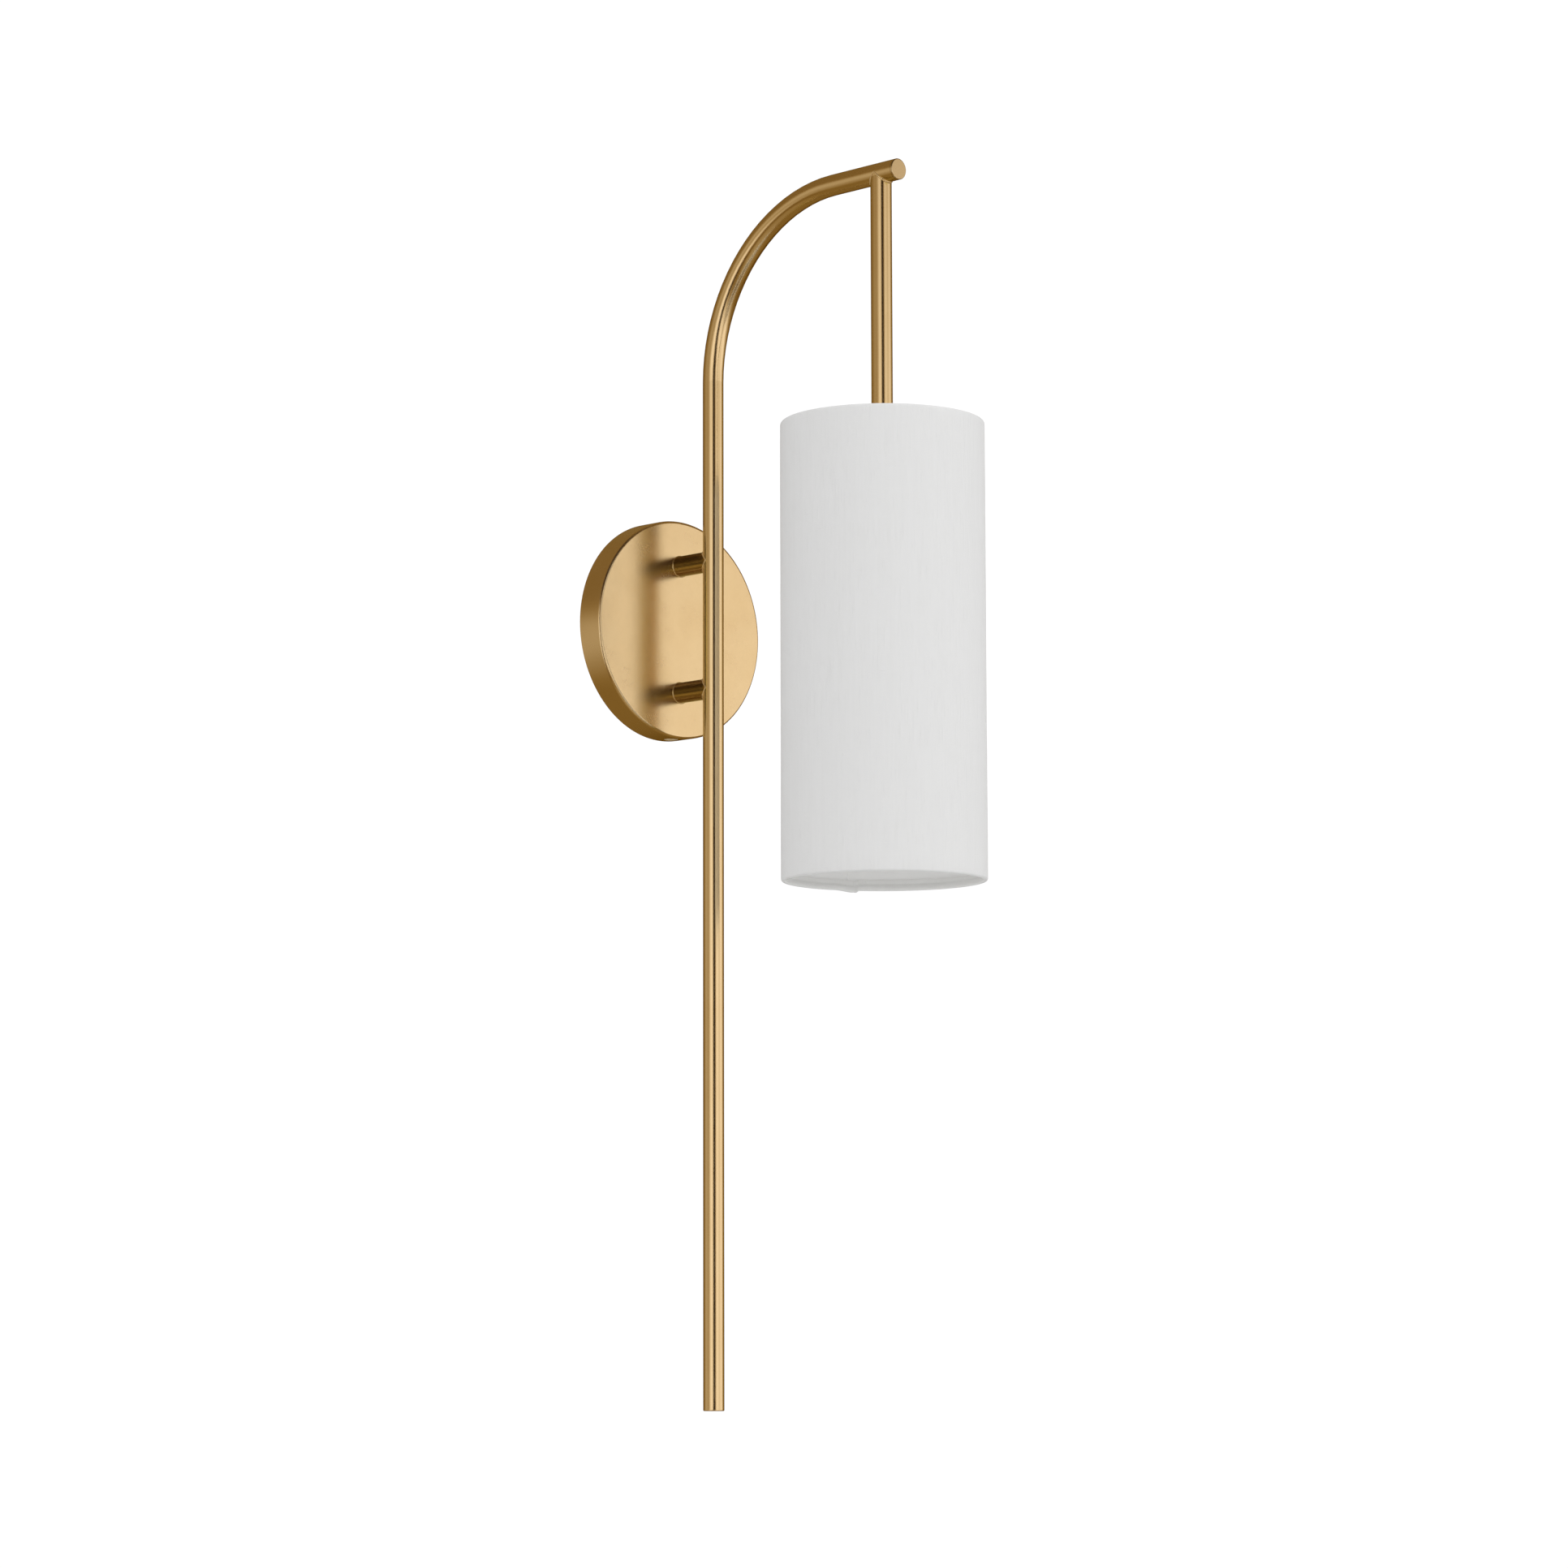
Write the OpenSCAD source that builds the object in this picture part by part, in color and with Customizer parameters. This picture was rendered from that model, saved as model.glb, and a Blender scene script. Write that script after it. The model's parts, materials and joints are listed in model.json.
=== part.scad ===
// Wall sconce: a slim bent tube on two short posts carries a tall drum shade in front of a round canopy.
// The wall is the plane y = 0, the light stands out from it along -Y, and +Z is up.
// The origin is the middle of the canopy on the wall. All sizes are in millimetres.

/* [Canopy] */
// Outer diameter of the round canopy
canopy_d = 127; // [124:1:134]
// How far the canopy's face stands out from the wall
canopy_depth = 16.5; // [16.5:0.5:20]
// Sheet thickness of the canopy
canopy_wall = 1.2; // [1:0.1:1.4]
// Radius of the canopy's front edge
canopy_edge_r = 1.6; // [1.5:0.1:2.5]
// Height between the two posts
post_spacing = 74; // [70:1:76]

/* [Arm] */
// Outer diameter of the tube that the arm, rod and posts are made of
tube_d = 12; // [11.8:0.1:12.4]
// Wall thickness of the tube
tube_wall = 1; // [0.8:0.1:1.1]
// Distance of the upright tube's axis from the wall
arm_out = 44; // [42:1:50]
// Distance of the drop rod's axis in front of the upright tube's axis
arm_reach = 136.5; // [130:0.5:145]
// Centreline radius of the bend
bend_r = 99; // [90:1:105]
// Height of the arm's axis at the top
arm_z = 240.5; // [230:0.5:250]
// Height of the arm's lower end
foot_z = -448.5; // [-460:0.5:-300]
// How far the arm's nose reaches past the drop rod's axis
nose = 14; // [11:0.5:20]

/* [Shade] */
// Outer diameter of the drum shade
shade_d = 114; // [110:1:120]
// Height of the shade's upper rim
shade_top_z = 98; // [97:0.5:104]
// Height of the drum
shade_h = 256.5; // [240:0.5:270]
// Height of the hem that is turned in at each rim
hem_h = 6; // [5:0.5:9]
// Turn of the shade's seam from the wall side, in degrees
seam_turn = 29; // [-60:1:60]

/* [Lamp holder] */
// Height of the drop rod's lower end
rod_end_z = 80; // [76:1:81]
// Outer diameter of the lamp holder's thread
holder_d = 38.4; // [38:0.1:38.6]
// Overall length of the bulb
bulb_l = 108; // [104:1:112]
// Diameter of the bulb's globe
bulb_d = 60; // [55:1:62]

/* [Hidden] */
$fn = 64;

// Tube and rod
tube_r = tube_d / 2;
bore_r = tube_r - tube_wall;
cope_gap = 0.05;
cope_trim = 2.5;
rod_out = arm_out + arm_reach;
bend_out = arm_out + bend_r;
bend_z = arm_z - bend_r;
tip_out = rod_out + nose;
cap_edge = 0.6;
cap_head = 1.6;
cap_l = 8;
wire_hole_r = 3.3;

// Threaded nipples, washers and nuts
thread_pitch = 1;
nipple_r = 4.85;
nipple_root_r = 4.3;
nipple_bore_r = 3.25;
tapped_r = 4.9;
clear_r = 5.1;
nipple_in_post = 12;
nipple_tail = 1;
washer_r = 9;
washer_t = 0.8;
nut_flats = 14;
nut_t = 3.5;
face_back = canopy_depth - canopy_wall;
nipple_start = face_back - washer_t - nut_t - nipple_tail;
nipple_turns = floor((canopy_depth + nipple_in_post - nipple_start) / thread_pitch);
post_z = post_spacing / 2;

// Canopy screws and mounting strap
rim_r = canopy_d / 2;
screw_out = 8.5;
screw_r = 2;
screw_head_r = 4.4;
screw_head_h = 2.4;
screw_l = 11;
head_slope = (screw_head_r - screw_r) / screw_head_h;
dimple_wall = 0.9;
dimple_sink = 0.35;
strap_w = 22;
strap_t = 1.6;
strap_end = rim_r - screw_head_h - dimple_sink - 0.15;
tab_depth = 13;
slot_r = 2.3;
slot_l = 20;
slot_z = 39.7;
strap_hole_r = 6.5;
ground_z = -18;

// Shade
shade_r = shade_d / 2;
shade_bottom_z = shade_top_z - shade_h;
cover_t = 0.4;
fit_gap = 0.05;
wire_r = 0.9;
hem_r = wire_r + fit_gap + cover_t;
wire_ring_r = shade_r - hem_r;
liner_t = 0.4;
liner_r = shade_r - cover_t - fit_gap;
liner_inset = hem_r + wire_r + fit_gap;
wire_top_z = shade_top_z - hem_r;
wire_low_z = shade_bottom_z + hem_r;
seam_angle = 10;
seam_t = 0.4;

// Lamp holder and shade fitter
cup_h = 22;
cup_r = 20;
cup_wall = 1;
cup_shoulder = 4;
flange_r = 21.5;
flange_t = 2.5;
holder_r = holder_d / 2;
holder_root = 0.9;
holder_pitch = 2.5;
holder_top_z = rod_end_z - 12;
flange_z = rod_end_z - cup_h;
fitter_z = flange_z - flange_t;
holder_bottom_z = flange_z - 36;
holder_floor_z = holder_bottom_z + 30;
shell_bore_r = 13.4;
shell_depth = 0.55;
shell_t = 0.5;
shell_turns = 6;
holder_bore_r = shell_bore_r + shell_depth + shell_t + 0.1;
fitter_t = 1.2;
fitter_bore_r = holder_r + 0.4;
fitter_r = 29;
ring_h = 10;
ring_r = 25;
ring_rib_r = 0.8;
ring_ribs = 24;
spider_r = 1.3;
spider_count = 3;
spider_foot_r = 27;

// Bulb
cap_pitch = 3.6;
bulb_tip_z = holder_floor_z - 3.4;
cap_top_z = bulb_tip_z - 4.1;
cap_r = 13.1;
cap_root_r = 12.35;
cap_turns = 6;
cap_collar = 1.9;
cap_bottom_z = cap_top_z - cap_turns * cap_pitch - cap_collar;
globe_t = 0.8;
globe_r = bulb_d / 2;
globe_z = bulb_tip_z - bulb_l + globe_r;
neck_r = 11.6;
neck_top_z = cap_bottom_z + 3;
glass_steps = 14;

// Leads and their connectors
lead_r = 1.1;
lead_x = 1.3;
lead_bend = 5;
lead_turn = 3;
lead_drop = 8;
lead_out = nipple_start - 1 - lead_turn - 0.2;
terminal_x = 11.5;
terminal_z = holder_top_z + 2.6;
connector_x = 32;
connector_z = 12;
connector_l = 19;
connector_r = 4.6;
ground_x = 24;
ground_connector_z = -36;

/* ---- shared shapes ---- */

// A round bar along the line out from the wall, from distance a to distance b
module out_bar(r, a, b, z = 0, x = 0) {
    translate([x, -a, z]) rotate([90, 0, 0]) cylinder(h = b - a, r = r);
}

// An upright round bar at distance d from the wall
module up_bar(r, z0, z1, d, x = 0) {
    translate([x, -d, z0]) cylinder(h = z1 - z0, r = r);
}

// A round bar sideways, from x = a to x = b
module side_bar(r, a, b, d, z) {
    translate([a, -d, z]) rotate([0, 90, 0]) cylinder(h = b - a, r = r);
}

// A quarter bend in the plane x = 0 around [y, z] = centre; start is its first angle from +Y towards +Z
module bend_yz(r, bend, centre, start, x = 0) {
    translate([x, centre[0], centre[1]]) rotate([90, 0, 90]) rotate([0, 0, start])
        rotate_extrude(angle = 90) translate([bend, 0]) circle(r = r);
}

// A quarter bend in a plane y = constant around [x, z] = centre; start is its first angle from +X towards +Z
module bend_xz(r, bend, centre, start, d) {
    translate([centre[0], -d, centre[1]]) rotate([90, 0, 0]) rotate([0, 0, start])
        rotate_extrude(angle = 90) translate([bend, 0]) circle(r = r);
}

// A quarter bend in a plane z = constant around [x, y] = centre; start is its first angle from +X towards +Y
module bend_xy(r, bend, centre, start, z) {
    translate([centre[0], centre[1], z]) rotate([0, 0, start])
        rotate_extrude(angle = 90) translate([bend, 0]) circle(r = r);
}

// The arm's path as a solid bar of radius r, from the height foot to the distance tip
module arm_bar(r, foot, tip) {
    up_bar(r, foot, bend_z, arm_out);
    bend_yz(r, bend_r, [-bend_out, bend_z], 0);
    out_bar(r, bend_out, tip, arm_z);
}

// Outline points of a thread: one root and one crest in every turn
function thread_edge(root, crest, pitch, turns) = [
    for (i = [0 : turns - 1], k = [0, 1]) [k == 0 ? root : crest, (i + 0.25 + k / 2) * pitch]
];

// A grooved bar that stands for a threaded one, from z = 0 up
module threaded_bar(crest, root, pitch, turns, bore = 0) {
    rotate_extrude() polygon(concat(
        [[bore, 0], [root, 0]],
        thread_edge(root, crest, pitch, turns),
        [[root, turns * pitch], [bore, turns * pitch]]
    ));
}

// Places its children on the axis of the drop rod
module on_rod(z = 0) {
    translate([0, -rod_out, z]) children();
}

// Places its children at the canopy's top and bottom screws, looking out along +Z from the rim
module at_screws() {
    for (turn = [0, 180])
        rotate([0, turn, 0]) translate([0, -screw_out, rim_r]) children();
}

// Hexagonal nut from z = 0 up
module hex_nut() {
    difference() {
        cylinder(h = nut_t, r = nut_flats / 2 / cos(30), $fn = 6);
        translate([0, 0, -1]) cylinder(h = nut_t + 2, r = tapped_r);
    }
}

/* ---- wall side ---- */

// Flat steel bar across the junction box, with a tapped tab at each end for the canopy's screws
module mounting_strap() {
    color("lightsteelblue") difference() {
        union() {
            translate([-strap_w / 2, -strap_t, -strap_end]) cube([strap_w, strap_t, 2 * strap_end]);
            for (z = [-strap_end, strap_end - strap_t])
                translate([-strap_w / 2, -tab_depth, z]) cube([strap_w, tab_depth, strap_t]);
        }
        out_bar(strap_hole_r, -1, strap_t + 1);
        out_bar(screw_r + 0.05, -1, strap_t + 1, ground_z);
        for (side = [-1, 1]) translate([0, 0, side * slot_z]) {
            for (end = [-1, 1]) out_bar(slot_r, -1, strap_t + 1, end * (slot_l / 2 - slot_r));
            translate([-slot_r, -strap_t - 1, -slot_l / 2 + slot_r])
                cube([2 * slot_r, strap_t + 2, slot_l - 2 * slot_r]);
        }
        at_screws() translate([0, 0, -screw_l]) cylinder(h = screw_l, r = screw_r + 0.05);
    }
}

// Hex-head screw that holds the ground lead against the strap
module ground_screw() {
    head_out = strap_t + 2 * lead_r;
    color("seagreen") union() {
        out_bar(screw_r, 0.2, head_out + 0.1, ground_z);
        out_bar(4.6, head_out, head_out + 1, ground_z);
        translate([0, -head_out - 1, ground_z]) rotate([90, 0, 0]) cylinder(h = 3, r = 4, $fn = 6);
    }
}

// Outline of a shallow round pan with a rolled edge, open at z = 0
module pan_outline(r, depth, edge) {
    square([r - edge, depth]);
    square([r, depth - edge]);
    translate([r - edge, depth - edge]) circle(r = edge);
}

// Countersunk cone at a canopy screw
module dimple(r_narrow, sink, over) {
    translate([0, 0, -screw_head_h - sink])
        cylinder(h = screw_head_h + over, r1 = r_narrow, r2 = r_narrow + (screw_head_h + over) * head_slope);
}

// Spun brass canopy with two post holes in its face and two dimpled screw holes in its rim
module canopy() {
    inner_edge = canopy_edge_r - canopy_wall;
    color("darkgoldenrod") difference() {
        union() {
            rotate([90, 0, 0]) rotate_extrude() difference() {
                pan_outline(rim_r, canopy_depth, canopy_edge_r);
                translate([0, -1]) pan_outline(rim_r - canopy_wall, face_back + 1, inner_edge);
            }
            at_screws() dimple(screw_r + dimple_wall, dimple_sink, 0);
        }
        at_screws() dimple(screw_r, 0, 1);
        at_screws() translate([0, 0, -6]) cylinder(h = 7, r = screw_r + 0.2);
        for (side = [-1, 1]) out_bar(clear_r, face_back - 1, canopy_depth + 1, side * post_z);
    }
}

// Two flat-head screws with cross recesses, through the canopy's rim into the strap's tabs
module canopy_screws() {
    head_sink = 0.15;
    edge = 0.15;
    head_r = screw_head_r - head_sink - 0.02;
    color("goldenrod") at_screws() translate([0, 0, -head_sink]) difference() {
        rotate_extrude() polygon([
            [0, -screw_l], [screw_r - 0.4, -screw_l], [screw_r, -screw_l + 0.6],
            [screw_r, -(head_r - screw_r) / head_slope], [head_r - edge, -edge], [head_r - 2 * edge, 0], [0, 0]
        ]);
        for (turn = [45, 135]) rotate([0, 0, turn]) translate([-2.3, -0.45, -1.3]) cube([4.6, 0.9, 3]);
    }
}

// Post between the canopy's face and the upright tube, coped to fit the tube and tapped at the canopy
module post(z) {
    difference() {
        out_bar(tube_r, canopy_depth, arm_out - cope_trim, z);
        up_bar(tube_r + cope_gap, z - 20, z + 20, arm_out);
        out_bar(tapped_r, canopy_depth - 1, canopy_depth + nipple_in_post + 0.5, z);
    }
}

module upper_post() {
    color("darkgoldenrod") difference() {
        post(post_z);
        out_bar(wire_hole_r, canopy_depth, arm_out, post_z);
    }
}

module lower_post() {
    color("darkgoldenrod") post(-post_z);
}

// Threaded nipple through the canopy's face into a post
module post_nipple(z, bore) {
    translate([0, -nipple_start, z]) rotate([90, 0, 0])
        threaded_bar(nipple_r, nipple_root_r, thread_pitch, nipple_turns, bore);
}

module upper_nipple() {
    color("silver") post_nipple(post_z, nipple_bore_r);
}

module lower_nipple() {
    color("silver") post_nipple(-post_z, 0);
}

module post_washers() {
    color("silver") for (side = [-1, 1]) difference() {
        out_bar(washer_r, face_back - washer_t, face_back, side * post_z);
        out_bar(clear_r, face_back - 2, face_back + 1, side * post_z);
    }
}

module post_nuts() {
    color("silver") for (side = [-1, 1])
        translate([0, -face_back + washer_t, side * post_z]) rotate([-90, 0, 0]) hex_nut();
}

// Plastic bushing in the upper nipple's mouth, which keeps the leads off its edge
module nipple_bushing() {
    color("ivory") translate([0, -nipple_start, post_z]) rotate([-90, 0, 0]) rotate_extrude() polygon([
        [2.65, -4], [nipple_bore_r - 0.05, -4], [nipple_bore_r - 0.05, 0],
        [4.2, 0], [4.2, 0.6], [3.8, 1], [3.05, 1], [2.65, 0.6]
    ]);
}

/* ---- arm and rod ---- */

// One bent tube: upright leg, quarter bend and a level top that ends in the nose
module arm_tube() {
    color("darkgoldenrod") difference() {
        arm_bar(tube_r, foot_z + cap_head, tip_out - cap_head);
        arm_bar(bore_r, foot_z - 1, tip_out + 1);
        out_bar(wire_hole_r, arm_out - tube_r - 1, arm_out, post_z);
        up_bar(wire_hole_r, arm_z - tube_r - 1, arm_z, rod_out);
    }
}

// Flush end cap with a softened edge and a spigot, from its face at z = 0 up into the tube
module tube_cap() {
    rotate_extrude() {
        square([tube_r - cap_edge, cap_head]);
        translate([0, cap_edge]) square([tube_r, cap_head - cap_edge]);
        square([bore_r - 0.05, cap_l]);
        intersection() {
            translate([tube_r - cap_edge, cap_edge]) circle(r = cap_edge);
            square([tube_r, cap_head]);
        }
    }
}

module arm_nose_cap() {
    color("darkgoldenrod") translate([0, -tip_out, arm_z]) rotate([-90, 0, 0]) tube_cap();
}

module arm_foot_cap() {
    color("darkgoldenrod") translate([0, -arm_out, foot_z]) tube_cap();
}

// Rod that hangs from the arm, coped at its top and tapped at its lower end
module drop_rod() {
    color("darkgoldenrod") difference() {
        up_bar(tube_r, rod_end_z, arm_z - cope_trim, rod_out);
        out_bar(tube_r + cope_gap, rod_out - 20, rod_out + 20, arm_z);
        up_bar(tapped_r, rod_end_z - 1, arm_z, rod_out);
    }
}

/* ---- lamp holder ---- */

module rod_nipple() {
    color("silver") on_rod(rod_end_z - 6)
        threaded_bar(nipple_r, nipple_root_r, thread_pitch, 18, nipple_bore_r);
}

module rod_nut() {
    color("silver") on_rod(rod_end_z - cup_wall - nut_t) hex_nut();
}

// Outline of the lamp holder's cup, from z = 0 up
module cup_outline(r, h, shoulder) {
    square([r - shoulder, h]);
    square([r, h - shoulder]);
    translate([r - shoulder, h - shoulder]) circle(r = shoulder);
}

// Spun cup over the lamp holder's back
module holder_cup() {
    color("darkgoldenrod") on_rod(flange_z) rotate_extrude() difference() {
        cup_outline(cup_r, cup_h, cup_shoulder);
        translate([0, -1]) cup_outline(cup_r - cup_wall, cup_h - cup_wall + 1, cup_shoulder - cup_wall);
        translate([0, -1]) square([clear_r, cup_h + 2]);
    }
}

// Moulded lamp holder, with an outside thread under the flange that the fitter seats against
module holder_body() {
    turns = floor((fitter_z - holder_bottom_z - 1) / holder_pitch);
    thread_z = fitter_z - turns * holder_pitch;
    root_r = holder_r - holder_root;
    back_r = cup_r - cup_wall - 0.2;
    color("dimgray") on_rod() rotate_extrude() polygon(concat(
        [[holder_bore_r, holder_bottom_z], [root_r, holder_bottom_z], [root_r, thread_z]],
        [for (p = thread_edge(root_r, holder_r, holder_pitch, turns)) [p[0], p[1] + thread_z]],
        [[root_r, fitter_z], [flange_r, fitter_z], [flange_r, flange_z], [back_r, flange_z],
         [back_r, holder_top_z - 1], [back_r - 1, holder_top_z], [0, holder_top_z],
         [0, holder_floor_z], [holder_bore_r, holder_floor_z]]
    ));
}

// Rolled screw shell inside the lamp holder
module holder_shell() {
    inner = thread_edge(shell_bore_r, shell_bore_r + shell_depth, cap_pitch, shell_turns);
    top = shell_turns * cap_pitch;
    color("silver") on_rod(holder_floor_z - top) rotate_extrude() polygon(concat(
        [[shell_bore_r, 0]], inner, [[shell_bore_r, top], [shell_bore_r + shell_t, top]],
        [for (i = [len(inner) - 1 : -1 : 0]) inner[i] + [shell_t, 0]],
        [[shell_bore_r + shell_t, 0]]
    ));
}

// Springy tongue on the lamp holder's floor that meets the bulb's tip
module holder_contact() {
    tongue_z = bulb_tip_z + 0.05;
    color("gold") on_rod() translate([-3, -3.5, 0]) {
        translate([0, 0, holder_floor_z - 0.5]) cube([6, 13, 0.5]);
        translate([0, 0, tongue_z]) cube([6, 7.5, 0.5]);
        translate([0, 0, tongue_z]) cube([6, 0.5, holder_floor_z - tongue_z]);
    }
}

// Two terminal blocks on the lamp holder's back, one for each lead
module holder_terminals() {
    color("gold") on_rod(holder_top_z) for (side = [-1, 1]) difference() {
        translate([side * terminal_x - 3, -3, 0]) cube([6, 6, 5.5]);
        translate([side * terminal_x, 0, terminal_z - holder_top_z]) rotate([0, 90, 0])
            cylinder(h = 8, r = lead_r + 0.05, center = true);
        translate([side * terminal_x, 0, 3.5]) cylinder(h = 3, r = 1.5);
    }
}

// Two slotted screws that clamp the leads in the terminals
module terminal_screws() {
    color("silver") on_rod(terminal_z + lead_r + 0.05) for (side = [-1, 1])
        translate([side * terminal_x, 0, 0]) difference() {
            union() {
                cylinder(h = 2.5, r = 1.45);
                translate([0, 0, 2]) cylinder(h = 1.4, r = 2.4);
            }
            translate([-3, -0.3, 2.8]) cube([6, 0.6, 1]);
        }
}

/* ---- leads ---- */

// One insulated lead: terminal, rod, arm, upper post, and across the canopy to its connector.
// The side is -1 or 1, and turns the lead's two ends that way.
module mains_lead(side) {
    x = side * lead_x;
    ends = side > 0 ? 0 : 90;
    low = terminal_z + lead_turn;
    far = side * (connector_x - lead_drop);
    near = x + side * lead_turn;
    side_bar(lead_r, min(near, side * terminal_x), max(near, side * terminal_x), rod_out, terminal_z);
    bend_xz(lead_r, lead_turn, [near, low], 180 + ends, rod_out);
    up_bar(lead_r, low, arm_z - lead_bend, rod_out, x);
    bend_yz(lead_r, lead_bend, [lead_bend - rod_out, arm_z - lead_bend], 90, x);
    out_bar(lead_r, bend_out, rod_out - lead_bend, arm_z, x);
    bend_yz(lead_r, bend_r, [-bend_out, bend_z], 0, x);
    up_bar(lead_r, post_z + lead_bend, bend_z, arm_out, x);
    bend_yz(lead_r, lead_bend, [lead_bend - arm_out, post_z + lead_bend], 180, x);
    out_bar(lead_r, lead_out + lead_turn, arm_out - lead_bend, post_z, x);
    bend_xy(lead_r, lead_turn, [near, -lead_out - lead_turn], ends + (side > 0 ? 90 : -90), post_z);
    side_bar(lead_r, min(near, far), max(near, far), lead_out, post_z);
    bend_xz(lead_r, lead_drop, [far, post_z - lead_drop], side > 0 ? 0 : 90, lead_out);
    up_bar(lead_r, connector_z, post_z - lead_drop, lead_out, side * connector_x);
}

module live_lead() {
    color("black") mains_lead(-1);
}

module neutral_lead() {
    color("white") mains_lead(1);
}

// Ground lead: a loop under the strap's ground screw, then sideways, out and down to its own connector
module ground_lead() {
    out = strap_t + lead_r;
    loop_r = screw_r + lead_r + 0.1;
    run_z = ground_z - loop_r;
    straight = 0.2;
    turn = (lead_out - out - straight) / 2;
    color("limegreen") union() {
        translate([0, -out, ground_z]) rotate([90, 0, 0]) rotate_extrude(angle = 270)
            translate([loop_r, 0]) circle(r = lead_r);
        side_bar(lead_r, 0, ground_x - turn, out, run_z);
        bend_xy(lead_r, turn, [ground_x - turn, -out - turn], 0, run_z);
        out_bar(lead_r, out + turn, out + turn + straight, run_z, ground_x);
        bend_yz(lead_r, turn, [turn - lead_out, run_z - turn], 90, ground_x);
        up_bar(lead_r, ground_connector_z, run_z - turn, lead_out, ground_x);
    }
}

// Twist-on connectors that join the leads to the house's wires
module wire_connectors() {
    places = [[-connector_x, connector_z], [connector_x, connector_z], [ground_x, ground_connector_z]];
    color("orange") for (p = places) translate([p[0], -lead_out, p[1]]) difference() {
        translate([0, 0, 4 - connector_l]) cylinder(h = connector_l, r1 = connector_r - 2, r2 = connector_r);
        cylinder(h = 8, r = connector_r - 1.2);
    }
}

/* ---- shade ---- */

// Threaded ring with a ribbed grip, which holds the shade's fitter up against the lamp holder's flange
module shade_ring() {
    color("dimgray") on_rod(fitter_z - fitter_t - 2 * fit_gap - ring_h) difference() {
        union() {
            cylinder(h = ring_h, r = ring_r - 1);
            translate([0, 0, ring_h - 2]) cylinder(h = 2, r = ring_r);
            for (i = [0 : ring_ribs - 1]) rotate([0, 0, i * 360 / ring_ribs])
                translate([ring_r - 1.2, 0, 0]) cylinder(h = ring_h - 1, r = ring_rib_r);
        }
        translate([0, 0, -1]) cylinder(h = ring_h + 2, r = holder_r + 0.1);
    }
}

// Flat pressed ring of the shade's frame, round the lamp holder's thread
module fitter_ring() {
    color("gainsboro") on_rod(fitter_z - fitter_t - fit_gap) difference() {
        cylinder(h = fitter_t, r = fitter_r);
        translate([0, 0, -1]) cylinder(h = fitter_t + 2, r = fitter_bore_r);
    }
}

// A ring of round wire in the shade's frame, at the height z
module wire_ring(r, z) {
    on_rod(z) rotate_extrude() translate([wire_ring_r, 0]) circle(r = r);
}

module upper_wire_ring() {
    color("gainsboro") wire_ring(wire_r, wire_top_z);
}

module lower_wire_ring() {
    color("gainsboro") wire_ring(wire_r, wire_low_z);
}

// Slanting round bars from the fitter ring out to the upper wire ring
module spider_bars(r) {
    foot_z = fitter_z - 2;
    rise = wire_top_z - foot_z;
    run = wire_ring_r - spider_foot_r;
    for (i = [0 : spider_count - 1]) on_rod(foot_z) rotate([0, 0, 90 + i * 360 / spider_count])
        translate([spider_foot_r, 0, 0]) rotate([0, atan2(run, rise), 0])
            cylinder(h = norm([run, rise]), r = r);
}

// Three arms of the shade's frame, cut to fit the rings they are welded to
module spider_arms() {
    color("gainsboro") difference() {
        intersection() {
            spider_bars(spider_r);
            on_rod(fitter_z) cylinder(h = wire_top_z - 2 * fit_gap - fitter_z, r = wire_ring_r + 0.3);
        }
        wire_ring(wire_r + fit_gap, wire_top_z);
    }
}

// Stiff translucent liner, with a lap where its two ends are glued together
module shade_liner() {
    z0 = shade_bottom_z + liner_inset;
    h = shade_h - 2 * liner_inset;
    color("whitesmoke") on_rod(z0) union() {
        difference() {
            cylinder(h = h, r = liner_r, $fn = 128);
            translate([0, 0, -1]) cylinder(h = h + 2, r = liner_r - liner_t, $fn = 128);
        }
        rotate([0, 0, 90 - seam_turn - seam_angle / 2]) rotate_extrude(angle = seam_angle, $fn = 128)
            translate([liner_r - liner_t - seam_t, 0]) square([seam_t + 0.1, h]);
    }
}

// Half of the cover's outline at one rim: the wall, the roll over the wire, and the hem turned in
module cover_edge() {
    difference() {
        union() {
            translate([wire_ring_r, -hem_r]) circle(r = hem_r);
            translate([shade_r - 2 * hem_r, -hem_h]) square([2 * hem_r, hem_h - hem_r]);
        }
        translate([wire_ring_r, -hem_r]) circle(r = hem_r - cover_t);
        translate([shade_r - 2 * hem_r + cover_t, -hem_h - 1])
            square([2 * (hem_r - cover_t), hem_h + 1 - hem_r]);
    }
}

// Linen cover: a straight drum, turned in over the wire ring at each rim
module shade_cover() {
    color("white") difference() {
        on_rod() rotate_extrude($fn = 128) {
            translate([shade_r - cover_t, shade_bottom_z + hem_r]) square([cover_t, shade_h - 2 * hem_r]);
            translate([0, shade_top_z]) cover_edge();
            translate([0, shade_bottom_z]) mirror([0, 1]) cover_edge();
        }
        spider_notches();
    }
}

// Slots in the upper hem where the frame's arms come through
module spider_notches() {
    notch = 2 * spider_r + 0.6;
    on_rod(wire_top_z - hem_h) for (i = [0 : spider_count - 1]) rotate([0, 0, 90 + i * 360 / spider_count])
        translate([wire_ring_r - hem_r - 3, -notch / 2, 0]) cube([3 + 2 * cover_t, notch, hem_h]);
}

/* ---- bulb ---- */

// Cubic curve from a to b with slopes p and q at its ends, at t from 0 to 1
function blend_curve(a, b, p, q, t) =
    a * (2 * t ^ 3 - 3 * t ^ 2 + 1) + p * (t ^ 3 - 2 * t ^ 2 + t) + b * (3 * t ^ 2 - 2 * t ^ 3) + q * (t ^ 3 - t ^ 2);

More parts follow.
